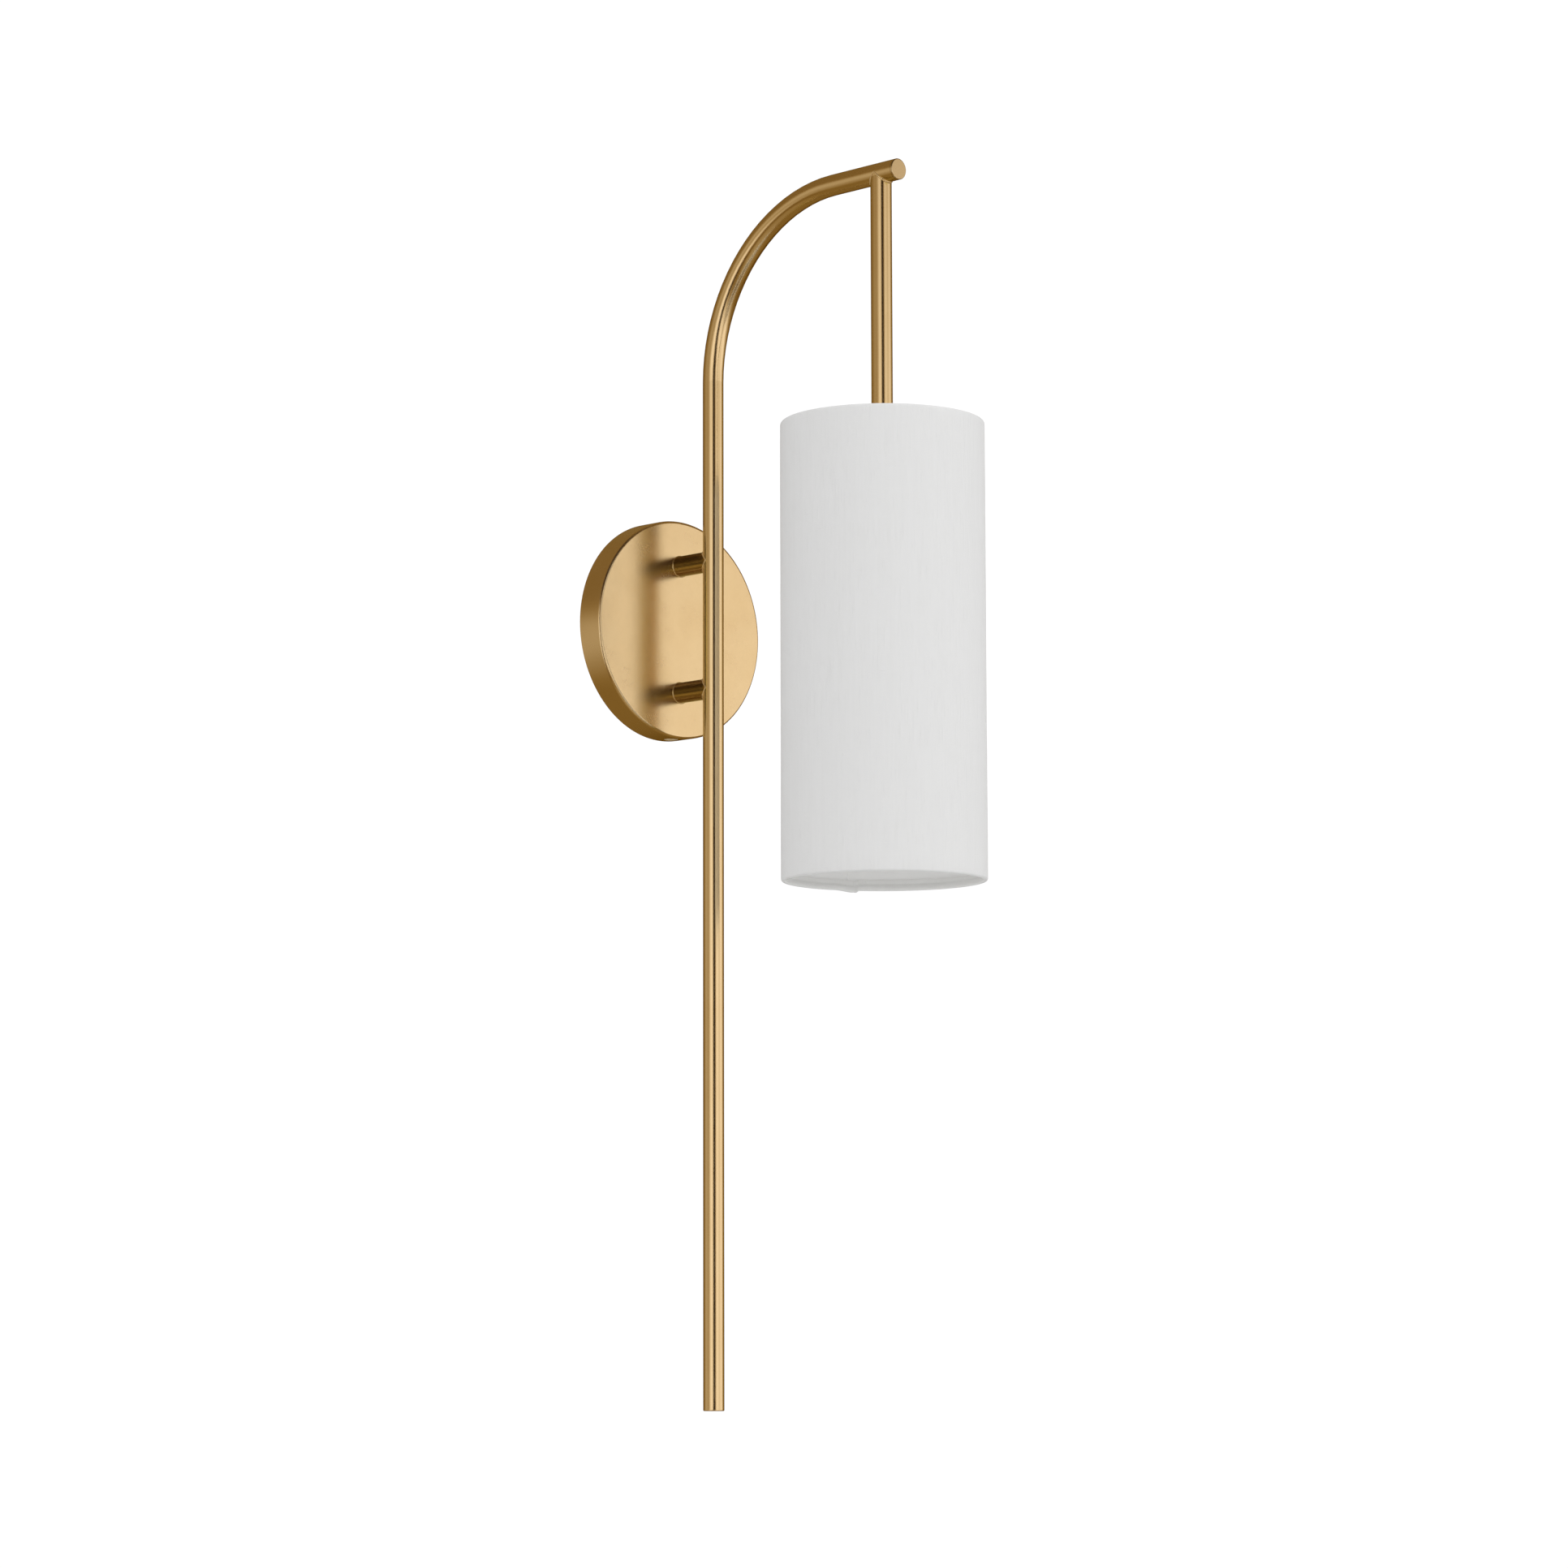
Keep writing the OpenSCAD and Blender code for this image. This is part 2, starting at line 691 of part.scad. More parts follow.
// Outline of the glass from its lowest point up to the neck's end
function glass_edge(r, neck) =
    let (
        lift = 25,
        z1 = globe_z + r * sin(lift),
        z2 = neck_top_z - 7,
        slope = -tan(lift) * (z2 - z1)
    ) concat(
        [for (i = [0 : glass_steps]) let (a = -90 + i * (90 + lift) / glass_steps)
            [r * cos(a), globe_z + r * sin(a)]],
        [for (i = [1 : glass_steps]) let (t = i / glass_steps)
            [blend_curve(r * cos(lift), neck, slope, 0, t), z1 + t * (z2 - z1)]],
        [[neck, neck_top_z]]
    );

module bulb_globe() {
    outer = glass_edge(globe_r, neck_r);
    inner = glass_edge(globe_r - globe_t, neck_r - globe_t);
    color("ghostwhite") on_rod() rotate_extrude()
        polygon(concat(outer, [for (i = [len(inner) - 1 : -1 : 0]) inner[i]]));
}

// Rolled metal screw cap
module bulb_cap() {
    l = cap_top_z - cap_bottom_z;
    color("silver") on_rod(cap_bottom_z) rotate_extrude() polygon(concat(
        [[neck_r + 0.05, 0], [cap_r, 0], [cap_r, cap_collar]],
        [for (p = thread_edge(cap_root_r, cap_r, cap_pitch, cap_turns)) [p[0], p[1] + cap_collar]],
        [[cap_root_r, l], [cap_root_r - 2.4, l + 1.4], [cap_root_r - 2.4, l + 0.6], [neck_r + 0.05, l - 1]]
    ));
}

// Black glass between the cap and the tip
module bulb_insulator() {
    color("black") on_rod(cap_top_z) rotate_extrude() polygon([
        [0, 0.7], [cap_root_r - 2.5, 0.7], [cap_root_r - 2.5, 1.4], [cap_root_r - 5, 2.9], [0, 2.9]
    ]);
}

// Solder button that meets the lamp holder's contact
module bulb_tip() {
    h = bulb_tip_z - cap_top_z - 2.9;
    color("silver") on_rod(cap_top_z + 2.9) rotate_extrude()
        polygon([[0, 0], [5.2, 0], [4.6, h * 0.6], [3.4, h], [0, h]]);
}

mounting_strap();
ground_screw();
canopy();
canopy_screws();
upper_post();
lower_post();
upper_nipple();
lower_nipple();
post_washers();
post_nuts();
nipple_bushing();
arm_tube();
arm_nose_cap();
arm_foot_cap();
drop_rod();
rod_nipple();
rod_nut();
holder_cup();
holder_body();
holder_shell();
holder_contact();
holder_terminals();
terminal_screws();
live_lead();
neutral_lead();
ground_lead();
wire_connectors();
shade_ring();
fitter_ring();
spider_arms();
upper_wire_ring();
lower_wire_ring();
shade_liner();
shade_cover();
bulb_globe();
bulb_cap();
bulb_insulator();
bulb_tip();
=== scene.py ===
"""Wall sconce: satin brass arm and canopy, white linen drum shade.

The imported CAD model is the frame. This script adds the detailed pieces, the materials,
the studio and the camera. Lengths are in metres unless a name ends in _mm.
"""

import json
import math

import bpy
from mathutils import Matrix, Vector, noise


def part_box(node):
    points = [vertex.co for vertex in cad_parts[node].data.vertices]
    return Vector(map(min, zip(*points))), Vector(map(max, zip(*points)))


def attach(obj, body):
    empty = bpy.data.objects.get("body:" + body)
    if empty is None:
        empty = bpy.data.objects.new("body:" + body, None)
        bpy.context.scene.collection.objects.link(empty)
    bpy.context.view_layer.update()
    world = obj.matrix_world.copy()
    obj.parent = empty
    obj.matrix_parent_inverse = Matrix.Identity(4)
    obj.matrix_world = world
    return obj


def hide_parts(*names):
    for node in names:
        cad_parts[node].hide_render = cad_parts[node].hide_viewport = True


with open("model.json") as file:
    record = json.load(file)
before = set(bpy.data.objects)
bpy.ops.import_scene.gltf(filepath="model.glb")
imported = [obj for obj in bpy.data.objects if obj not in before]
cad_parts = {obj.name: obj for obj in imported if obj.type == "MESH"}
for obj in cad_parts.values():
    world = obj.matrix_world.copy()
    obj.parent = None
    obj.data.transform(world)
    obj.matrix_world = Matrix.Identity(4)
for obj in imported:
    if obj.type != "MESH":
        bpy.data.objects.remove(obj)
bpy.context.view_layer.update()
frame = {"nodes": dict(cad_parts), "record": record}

MM = 0.001
TAU = 2 * math.pi

# ---------------- places read from the CAD model


def middle(node):
    """The middle of a node's box."""
    low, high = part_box(node)
    return (Vector(low) + Vector(high)) / 2


def span(node, axis):
    """The size of a node's box along axis 0, 1 or 2."""
    low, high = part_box(node)
    return high[axis] - low[axis]


def heights(node):
    """The lowest and highest z of a node's box."""
    low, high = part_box(node)
    return low[2], high[2]


# Away from the wall, towards it, and up.
OUT, IN, UP = Vector((0, -1, 0)), Vector((0, 1, 0)), Vector((0, 0, 1))

FIXTURE, SHADE = "fixture", "shade"

ROD = middle("drop_rod")
ROD_AXIS = Vector((0, ROD.y, 0))
ON_ROD = Matrix.Translation(ROD_AXIS)
LEG = middle("arm_foot_cap")
TUBE_R = span("drop_rod", 0) / 2
ARM_Z = middle("arm_nose_cap").z
POST_Z = middle("upper_post").z

# ---------------- mesh tools


def solid(name, verts, faces, material, body, uvs=None, sharp=40):
    """A mesh piece that rides on a body."""
    mesh = bpy.data.meshes.new(name)
    mesh.from_pydata([tuple(v) for v in verts], [], faces)
    if uvs:
        layer = mesh.uv_layers.new(name="cloth")
        for loop in mesh.loops:
            layer.data[loop.index].uv = uvs[loop.vertex_index]
    mesh.validate()
    mesh.polygons.foreach_set("use_smooth", [True] * len(mesh.polygons))
    mesh.set_sharp_from_angle(angle=math.radians(sharp))
    mesh.materials.append(material)
    piece = bpy.data.objects.new(name, mesh)
    bpy.context.scene.collection.objects.link(piece)
    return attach(piece, body)


def grid_faces(rows, cols, wrap_rows=False):
    """Quads over a grid of points stored row by row. Each row closes on itself."""
    faces = []
    for i in range(rows if wrap_rows else rows - 1):
        a, b = i * cols, (i + 1) % rows * cols
        for j in range(cols):
            k = (j + 1) % cols
            faces.append((a + j, a + k, b + k, b + j))
    return faces


def placed(origin, direction=UP):
    """The matrix that stands a piece made along +Z at origin, along direction."""
    turn = UP.rotation_difference(direction).to_matrix().to_4x4()
    return Matrix.Translation(Vector(origin)) @ turn


def lathe(rows, shape=None, segments=96, closed=True, place=Matrix.Identity(4)):
    """Vertices and faces of a turned shape from rows of (r, z).

    shape(r, z, angle) may move each point. A closed shape joins its last row to its first, as a ring does. An
    open one ends in two discs.
    """
    verts = []
    for r0, z0 in rows:
        for j in range(segments):
            a = TAU * j / segments
            r, z = shape(r0, z0, a) if shape else (r0, z0)
            verts.append(place @ Vector((r * math.cos(a), r * math.sin(a), z)))
    faces = grid_faces(len(rows), segments, wrap_rows=closed)
    if not closed:
        last = (len(rows) - 1) * segments
        faces.append(tuple(reversed(range(segments))))
        faces.append(tuple(range(last, last + segments)))
    return verts, faces


def merge(*parts):
    """One set of vertices and faces from several."""
    verts, faces = [], []
    for v, f in parts:
        n = len(verts)
        verts += v
        faces += [tuple(n + i for i in face) for face in f]
    return verts, faces


def tangent(points, i):
    """The direction of a path at its point i."""
    return (points[min(i + 1, len(points) - 1)] - points[max(i - 1, 0)]).normalized()


def along(path, radius, segments, flat=1.0):
    """A round bar along a list of points, with domed ends.

    radius is a number or a function of 0 to 1, and flat is the share of it that the bar has in height.
    """
    points = [Vector(p) for p in path]
    size = radius if callable(radius) else (lambda t: radius)
    tangents = [tangent(points, i) for i in range(len(points))]
    side = tangents[0].orthogonal().normalized()
    verts, rows = [], 0
    dome = [(-0.98, 0.2), (-0.8, 0.6), (-0.45, 0.89)]  # how far past the end, and the width there, in radii
    for i, (p, t) in enumerate(zip(points, tangents)):
        side = (side - t * side.dot(t)).normalized()
        up = t.cross(side)
        r = size(i / (len(points) - 1))
        steps = [(0, 1)]
        if i == 0:
            steps = dome + steps
        if i == len(points) - 1:
            steps = steps + [(-d, s) for d, s in reversed(dome)]
        for d, s in steps:
            rows += 1
            for j in range(segments):
                a = TAU * j / segments
                across = side * math.cos(a) + up * (math.sin(a) * flat)
                verts.append(p + t * (d * r) + across * (r * s))
    faces = grid_faces(rows, segments)
    faces.append(tuple(reversed(range(segments))))
    faces.append(tuple(range((rows - 1) * segments, rows * segments)))
    return verts, faces


def smooth_path(points, steps):
    """A curve through the points (Catmull-Rom)."""
    pts = [Vector(p) for p in points]
    pts = [2 * pts[0] - pts[1]] + pts + [2 * pts[-1] - pts[-2]]
    out = []
    for a, b, c, d in zip(pts, pts[1:], pts[2:], pts[3:]):
        for k in range(steps):
            t = k / steps
            square, cube = 2 * a - 5 * b + 4 * c - d, 3 * b - a - 3 * c + d
            out.append(0.5 * (2 * b + (c - a) * t + square * t * t + cube * t**3))
    return out + [pts[-2]]


def thread(pitch, depth, z0, z1, lo=0.0, hi=1.0, round_form=False, ends=0.6):
    """A shape for lathe(): a helical thread between z0 and z1, in points whose radius is from lo to hi.

    The thread is cut inwards by depth, or outwards where depth is negative, as in a nut. It fades out over
    ends pitches at either end. Its form is a flat-topped ridge, or a round wave as on a lamp cap.
    """

    def shape(r, z, a):
        if not (z0 < z < z1 and lo <= r <= hi):
            return r, z
        t = (z / pitch - a / TAU) % 1
        if round_form:
            crest = 0.5 - 0.5 * math.cos(TAU * t)
        else:
            crest = min(1, max(0, 1.35 - abs(4 * t - 2) * 1.2))
        run = min(1, (z - z0) / (ends * pitch), (z1 - z) / (ends * pitch))
        return r - depth * (1 - crest * max(0, run)), z

    return shape


def threaded_rows(r, z0, z1, pitch, per_turn):
    """Rows from z0 to z1 that are close enough together for a thread."""
    n = max(2, round((z1 - z0) / pitch * per_turn))
    return [(r, z0 + (z1 - z0) * i / n) for i in range(n + 1)]


def arc_rows(r, z, radius, a0, a1, steps):
    """Rows along an arc round (r, z), angles in degrees from +r towards +z."""
    out = []
    for i in range(steps + 1):
        a = math.radians(a0 + (a1 - a0) * i / steps)
        out.append((r + radius * math.cos(a), z + radius * math.sin(a)))
    return out


# ---------------- material tools


def new_node(tree, kind, inputs=None, **settings):
    """A new node with some of its settings and unlinked inputs."""
    n = tree.nodes.new(kind)
    for key, value in settings.items():
        setattr(n, key, value)
    for key, value in (inputs or {}).items():
        n.inputs[key].default_value = value
    return n


class Nodes:
    """A material under construction: a Principled shader and the nodes that feed it."""

    def __init__(self, name, color, **inputs):
        self.mat = bpy.data.materials.new(name)
        self.mat.use_nodes = True
        self.tree = self.mat.node_tree
        self.shader = self.tree.nodes["Principled BSDF"]
        self.shader.inputs["Base Color"].default_value = (*color, 1)
        for key, value in inputs.items():
            socket = key.replace("_", " ").title().replace("Ior", "IOR")
            self.shader.inputs[socket].default_value = value
        self.normal = None
        self.place = self.node("ShaderNodeTexCoord").outputs["Object"]

    def node(self, kind, inputs=None, **settings):
        return new_node(self.tree, kind, inputs, **settings)

    def link(self, a, b):
        self.tree.links.new(a, b)

    def noise(self, scale, detail=3, rough=0.5, stretch=(1, 1, 1), source=None):
        """Noise over object coordinates in metres, or over source, scaled along each axis."""
        place = self.node("ShaderNodeVectorMath", {1: stretch}, operation="MULTIPLY")
        self.link(source or self.place, place.inputs[0])
        n = self.node("ShaderNodeTexNoise", {"Scale": scale, "Detail": detail, "Roughness": rough})
        self.link(place.outputs[0], n.inputs["Vector"])
        return n.outputs["Fac"]

    def spread(self, value, low, high, to_low, to_high):
        """value from low to high, turned into to_low to to_high."""
        limits = {"From Min": low, "From Max": high, "To Min": to_low, "To Max": to_high}
        n = self.node("ShaderNodeMapRange", limits, interpolation_type="SMOOTHSTEP")
        self.link(value, n.inputs["Value"])
        return n.outputs[0]

    def math(self, operation, a, b):
        n = self.node("ShaderNodeMath", operation=operation)
        for socket, v in zip(n.inputs, (a, b)):
            if isinstance(v, (int, float)):
                socket.default_value = v
            else:
                self.link(v, socket)
        return n.outputs[0]

    def tint(self, factor, color_a, color_b):
        """color_a where factor is 0, color_b where it is 1."""
        n = self.node("ShaderNodeMix", {6: (*color_a, 1), 7: (*color_b, 1)}, data_type="RGBA")
        self.link(factor, n.inputs[0])
        return n.outputs[2]

    def feed(self, socket, value):
        self.link(value, self.shader.inputs[socket])

    def bump(self, height, distance, strength=1.0):
        """Adds relief of that many metres to what there is."""
        n = self.node("ShaderNodeBump", {"Distance": distance, "Strength": strength})
        self.link(height, n.inputs["Height"])
        if self.normal:
            self.link(self.normal, n.inputs["Normal"])
        self.normal = n.outputs[0]
        self.feed("Normal", self.normal)


BRASS = (0.93, 0.705, 0.405)
BRASS_DEEP = (0.905, 0.675, 0.375)
BRUSH_DEPTH = 0.0001 * MM


def brushed_brass(name, grain, rough, tone=(1, 1, 1)):
    """Satin brass. grain is how many brush marks a metre has along each axis, and tone dims the colour:
    painted shade on darker copies.
    """
    light, deep = (tuple(c * t for c, t in zip(color, tone)) for color in (BRASS, BRASS_DEEP))
    m = Nodes(name, light, metallic=1.0)
    lines = m.noise(1, 2, 0.6, grain)
    m.feed("Base Color", m.tint(m.spread(m.noise(38, 3), 0.3, 0.75, 0, 1), light, deep))
    wear = m.spread(m.noise(60, 2), 0.35, 0.8, -0.01, 0.02)
    m.feed("Roughness", m.math("ADD", m.spread(lines, 0.2, 0.8, rough - 0.01, rough + 0.02), wear))
    m.bump(lines, BRUSH_DEPTH)
    return m.mat


def dimmed(color, share):
    return tuple(c * share for c in color)


def plated_steel(name, color, rough, metallic=0.7):
    """Plated or plain metal, faintly clouded, with a fine orange-peel."""
    m = Nodes(name, color, metallic=metallic)
    cloud = m.noise(160, 4, 0.6)
    m.feed("Base Color", m.tint(m.spread(cloud, 0.3, 0.8, 0, 1), color, dimmed(color, 0.94)))
    m.feed("Roughness", m.spread(m.noise(700, 3), 0.3, 0.8, rough - 0.02, rough + 0.05))
    m.bump(m.noise(1500, 2), 0.002 * MM, 0.5)
    return m.mat


def moulded(name, color, rough, speckle, grain=2500):
    """Moulded plastic, enamel or glass. speckle dims its darker spots, and grain is its relief's fineness."""
    m = Nodes(name, color)
    cloud = m.noise(420, 3)
    m.feed("Base Color", m.tint(m.spread(cloud, 0.35, 0.8, 0, 1), color, dimmed(color, speckle)))
    m.feed("Roughness", m.spread(m.noise(300, 2), 0.3, 0.8, rough - 0.06, rough + 0.08))
    m.bump(m.noise(grain, 2), 0.02 * MM, 0.5)
    return m.mat


# The wave node has a wave every 0.1 pi / scale metres.
WEAVE_SCALE = 620


def linen(name, tone=(0.83, 0.83, 0.83), low=(0.76, 0.76, 0.755), glow=0.0):
    """Plain-woven linen: a thread every 0.5 mm along the drum and round it, with slubs in both."""
    m = Nodes(name, tone, roughness=0.92, sheen_weight=0.25, sheen_roughness=0.5)
    uv = m.node("ShaderNodeUVMap", uv_map="cloth").outputs[0]
    threads = {"Scale": WEAVE_SCALE, "Distortion": 1.2, "Detail": 2, "Detail Scale": 0.6}
    warp = m.node("ShaderNodeTexWave", threads, wave_type="BANDS", bands_direction="X")
    weft = m.node("ShaderNodeTexWave", threads, wave_type="BANDS", bands_direction="Y")
    for wave in (warp, weft):
        m.link(uv, wave.inputs["Vector"])
    weave = m.math("MAXIMUM", warp.outputs["Fac"], weft.outputs["Fac"])
    slub_up = m.noise(1, 3, 0.6, (1500, 55, 1), uv)
    slub_round = m.noise(1, 3, 0.6, (60, 1300, 1), uv)
    slubs = m.math("MAXIMUM", m.spread(slub_up, 0.52, 0.78, 0, 1), m.spread(slub_round, 0.58, 0.82, 0, 0.7))
    broad = m.noise(1, 3, 0.6, (500, 12, 1), uv)
    shade = m.math("ADD", m.math("MULTIPLY", weave, 0.35), m.spread(broad, 0.3, 0.7, 0.42, 0.58))
    m.feed("Base Color", m.tint(shade, low, tone))
    m.bump(weave, 0.06 * MM, 0.5)
    m.bump(slubs, 0.12 * MM, 0.7)
    soaked_light(m, glow)
    return m.mat


def soaked_light(m, strength):
    """A faint glow that stands in for the daylight that soaks through the cloth."""
    m.shader.inputs["Emission Color"].default_value = (1, 1, 0.99, 1)
    m.shader.inputs["Emission Strength"].default_value = strength


def liner_film(name):
    """Stiff white translucent film with a faint embossed grain."""
    m = Nodes(name, (0.94, 0.94, 0.935), roughness=0.5)
    cloud = m.spread(m.noise(60, 3), 0.3, 0.75, 0, 1)
    m.feed("Base Color", m.tint(cloud, (0.95, 0.95, 0.945), (0.92, 0.92, 0.915)))
    m.feed("Roughness", m.spread(m.noise(300, 2), 0.3, 0.8, 0.42, 0.55))
    m.bump(m.noise(1800, 2), 0.01 * MM, 0.5)
    soaked_light(m, 0.06)
    return m.mat


def frosted_glass(name):
    """Glass with a white frost on its inside: bright and milky under a soft gloss."""
    m = Nodes(name, (0.93, 0.93, 0.92), roughness=0.3, ior=1.5, coat_weight=0.35, coat_roughness=0.08)
    cloud = m.spread(m.noise(25, 3), 0.3, 0.75, 0, 1)
    m.feed("Base Color", m.tint(cloud, (0.93, 0.93, 0.92), (0.91, 0.91, 0.895)))
    m.feed("Roughness", m.spread(m.noise(90, 3), 0.3, 0.7, 0.26, 0.36))
    m.bump(m.noise(40, 2), 0.004 * MM, 0.3)
    return m.mat


MATERIALS = {
    "tube_brass": brushed_brass("satin_brass_tube", (2600, 2600, 60), 0.19),
    # The nose cap is a dimmed copy of the brass: painted shade.
    "arm_brass_painted_shade": brushed_brass("satin_brass_nose_painted_shade", (2600, 500, 500), 0.22, (0.78, 0.77, 0.76)),
    "canopy_brass": brushed_brass("satin_brass_canopy", (700, 700, 700), 0.25),
    # The posts are a dimmed, warmer copy of the brass: painted shade and painted dark reflection, so they
    # read dark.
    "post_brass_painted_shade": brushed_brass("satin_brass_post_painted_shade", (2600, 60, 2600), 0.2, (0.5, 0.42, 0.28)),
    "braze": plated_steel("braze_brass", (0.9, 0.64, 0.32), 0.2),
    "raw_brass": plated_steel("raw_brass", (0.83, 0.6, 0.28), 0.3),
    # The screw heads are paler and less metallic than the brass: a painted highlight for their glints.
    "screw_brass": plated_steel("screw_brass", (0.95, 0.8, 0.54), 0.3, 0.45),
    "zinc": plated_steel("zinc_steel", (0.66, 0.67, 0.68), 0.3),
    "green_steel": plated_steel("green_steel", (0.05, 0.3, 0.1), 0.3),
    "cap_metal": plated_steel("cap_metal", (0.78, 0.78, 0.79), 0.24),
    "solder": plated_steel("solder", (0.6, 0.6, 0.61), 0.42),
    "enamel": moulded("white_enamel", (0.8, 0.8, 0.78), 0.35, 0.94, 900),
    "phenolic": moulded("black_phenolic", (0.018, 0.018, 0.02), 0.38, 0.6),
    "ivory": moulded("ivory_plastic", (0.72, 0.68, 0.58), 0.4, 0.9),
    "connector": moulded("connector_plastic", (0.78, 0.24, 0.035), 0.36, 0.85),
    "black_lead": moulded("black_insulation", (0.014, 0.014, 0.014), 0.42, 0.6, 1500),
    "white_lead": moulded("white_insulation", (0.78, 0.78, 0.76), 0.42, 0.93, 1500),
    "green_lead": moulded("green_insulation", (0.03, 0.3, 0.07), 0.42, 0.8, 1500),
    "liner": liner_film("shade_liner"),
    "linen": linen("white_linen"),
    # The hem is a paler copy of the linen with a glow: painted light that brightens the inside of the shade.
    "hem": linen("white_linen_hem_painted_light", (0.87, 0.87, 0.855), (0.81, 0.81, 0.8), 0.045),
    "glass": frosted_glass("frosted_glass"),
    "black_glass": moulded("black_glass", (0.01, 0.01, 0.012), 0.12, 0.8, 600),
}

# The material of each CAD node, and of the finer piece that stands for it.
FINISH = {
    node: finish
    for finish, nodes in {
        "tube_brass": "arm_tube arm_foot_cap drop_rod",
        "arm_brass_painted_shade": "arm_nose_cap",
        "canopy_brass": "canopy holder_cup",
        "screw_brass": "canopy_screws",
        "post_brass_painted_shade": "upper_post lower_post",
        "zinc": (
            "mounting_strap upper_nipple lower_nipple post_washers post_nuts rod_nipple rod_nut "
            "terminal_screws"
        ),
        "green_steel": "ground_screw",
        "ivory": "nipple_bushing",
        "phenolic": "holder_body shade_ring",
        "cap_metal": "holder_shell bulb_cap",
        "raw_brass": "holder_contact holder_terminals",
        "black_lead": "live_lead",
        "white_lead": "neutral_lead",
        "green_lead": "ground_lead",
        "connector": "wire_connectors",
        "enamel": "fitter_ring spider_arms upper_wire_ring lower_wire_ring",
        "liner": "shade_liner",
        "glass": "bulb_globe",
        "black_glass": "bulb_insulator",
        "solder": "bulb_tip",
    }.items()
    for node in nodes.split()
}


def finish_cad_nodes():
    """Gives each CAD node named in FINISH its material, also those that a finer piece stands for later."""
    for node, finish in FINISH.items():
        for slot in frame["nodes"][node].material_slots:
            slot.material = MATERIALS[finish]


# ---------------- shade

COVER_T = 0.4 * MM
HEM = 6 * MM
# How many rows of points, from the cloth's edge, lie on a hem's inner side, whose cloth is painted paler and
# glows: painted light.
HEM_ROWS = 10
SHADE_R = span("shade_cover", 0) / 2
SHADE_Z0, SHADE_Z1 = heights("shade_cover")
SHADE_MID = (SHADE_Z0 + SHADE_Z1) / 2
WIRE_R = 0.9 * MM
ROLL_R = WIRE_R + 0.25 * MM
WIRE_RING_R = SHADE_R - 1.35 * MM
LINER_R = span("shade_liner", 0) / 2
LINER_T = 0.4 * MM
SEAM_TURN = math.radians(90 - 29)
LAP_W = 10 * MM
# How far the lap stands off the drum, on the outside and on the inside.
LAP_OUT, LAP_IN = 0.35 * MM, 0.55 * MM
# Where the cloth's corner is folded in at each rim: a lump beside the seam's middle, past the rim by its sag.
LUMP_SHIFT, LUMP_SAG = 1.8 * MM, 1.1 * MM
ARM_TURNS = [math.radians(90 + i * 120) for i in range(3)]


def seam_offset(a):
    """Distance round the drum from the middle of the seam, in metres."""
    d = (a - SEAM_TURN + math.pi) % TAU - math.pi
    return d * SHADE_R


def step(x, width):
    """A smooth step from 0 to 1 round x = 0."""
    t = min(1, max(0, x / width + 0.5))
    return t * t * (3 - 2 * t)


def cloth_path():
    """The middle line of the cover in (r, z), from the lower hem's edge to the upper hem's."""
    wall_steps = 60
    wall_r = SHADE_R - COVER_T / 2
    wire = wall_r - ROLL_R
    band = LINER_R - LINER_T - 0.5 * MM
    low, high = SHADE_Z0 + COVER_T / 2, SHADE_Z1 - COVER_T / 2

    def hem(sign, z_edge):
        """A flat band inside the liner, a short slope to the wire, and the roll round it."""
        z_wire = z_edge + sign * ROLL_R
        inner = wire - ROLL_R
        pts = [(band, z_edge + sign * (HEM - i * 0.5 * MM)) for i in range(6)]
        pts += [(inner + 0.55 * MM, z_wire + sign * 1.7 * MM), (inner + 0.16 * MM, z_wire + sign * 0.8 * MM)]
        for i in range(1, 13):
            a = math.pi - math.pi * i / 13
            pts.append((wire + ROLL_R * math.cos(a), z_wire - sign * ROLL_R * math.sin(a)))
        return pts

    z0, z1 = low + ROLL_R, high - ROLL_R
    wall = [(wall_r, z0 + (z1 - z0) * i / wall_steps) for i in range(wall_steps + 1)]
    return hem(1, low) + wall + list(reversed(hem(-1, high)))


def cloth_point(r, z, a):
    """Where a point of the cover lies on the uneven drum, with the seam's lap and its lump at each rim."""
    d = seam_offset(a)
    broad = noise.noise(Vector((math.cos(a) * 2.2, math.sin(a) * 2.2, z * 22)))
    fine = noise.noise(Vector((math.cos(a) * 9, math.sin(a) * 9, z * 60 + 7)))
    uneven = broad * 0.12 * MM + fine * 0.04 * MM
    # The lap has one sharp edge and one that is glued down smoothly.
    lap = step(d + LAP_W / 2, 0.9 * MM) * (1 - step(d - LAP_W / 2, 3 * MM))
    outer = r > SHADE_R - 1.0 * MM
    lift = lap * (LAP_OUT if outer else -LAP_IN)
    # Near a rim the folded corner rises slowly on one side, has a narrow dent, and ends steeply.
    near_rim = step(abs(z - SHADE_MID) - (SHADE_Z1 - SHADE_Z0) / 2 + HEM + 0.5 * MM, 2 * MM)
    fold = LUMP_SHIFT - d
    rise = step(fold + 5.4 * MM, 12 * MM) * (1 - step(fold - 2.6 * MM, 1.9 * MM))
    dent = math.exp(-((fold - 0.3 * MM) / (0.45 * MM)) ** 2)
    lump = rise * (1 - 0.22 * dent) * near_rim
    ripple = noise.noise(Vector((d * 900, z * 500, 3.1))) * 0.2 * MM * lump
    crease = 0.4 * MM * dent * near_rim
    sag = lump * LUMP_SAG * (1 if z > SHADE_MID else -1)
    return r + uneven + lift + ripple + (crease if outer else crease - 0.5 * MM * lump), z + sag


def hem_share(a):
    """How much of the upper hem is left at angle a: it's notched where the frame's arms come in."""
    gap = min(abs((a - t + math.pi) % TAU - math.pi) for t in ARM_TURNS) * LINER_R
    return 0.12 + 0.88 * step(gap - 2.1 * MM, 0.8 * MM)


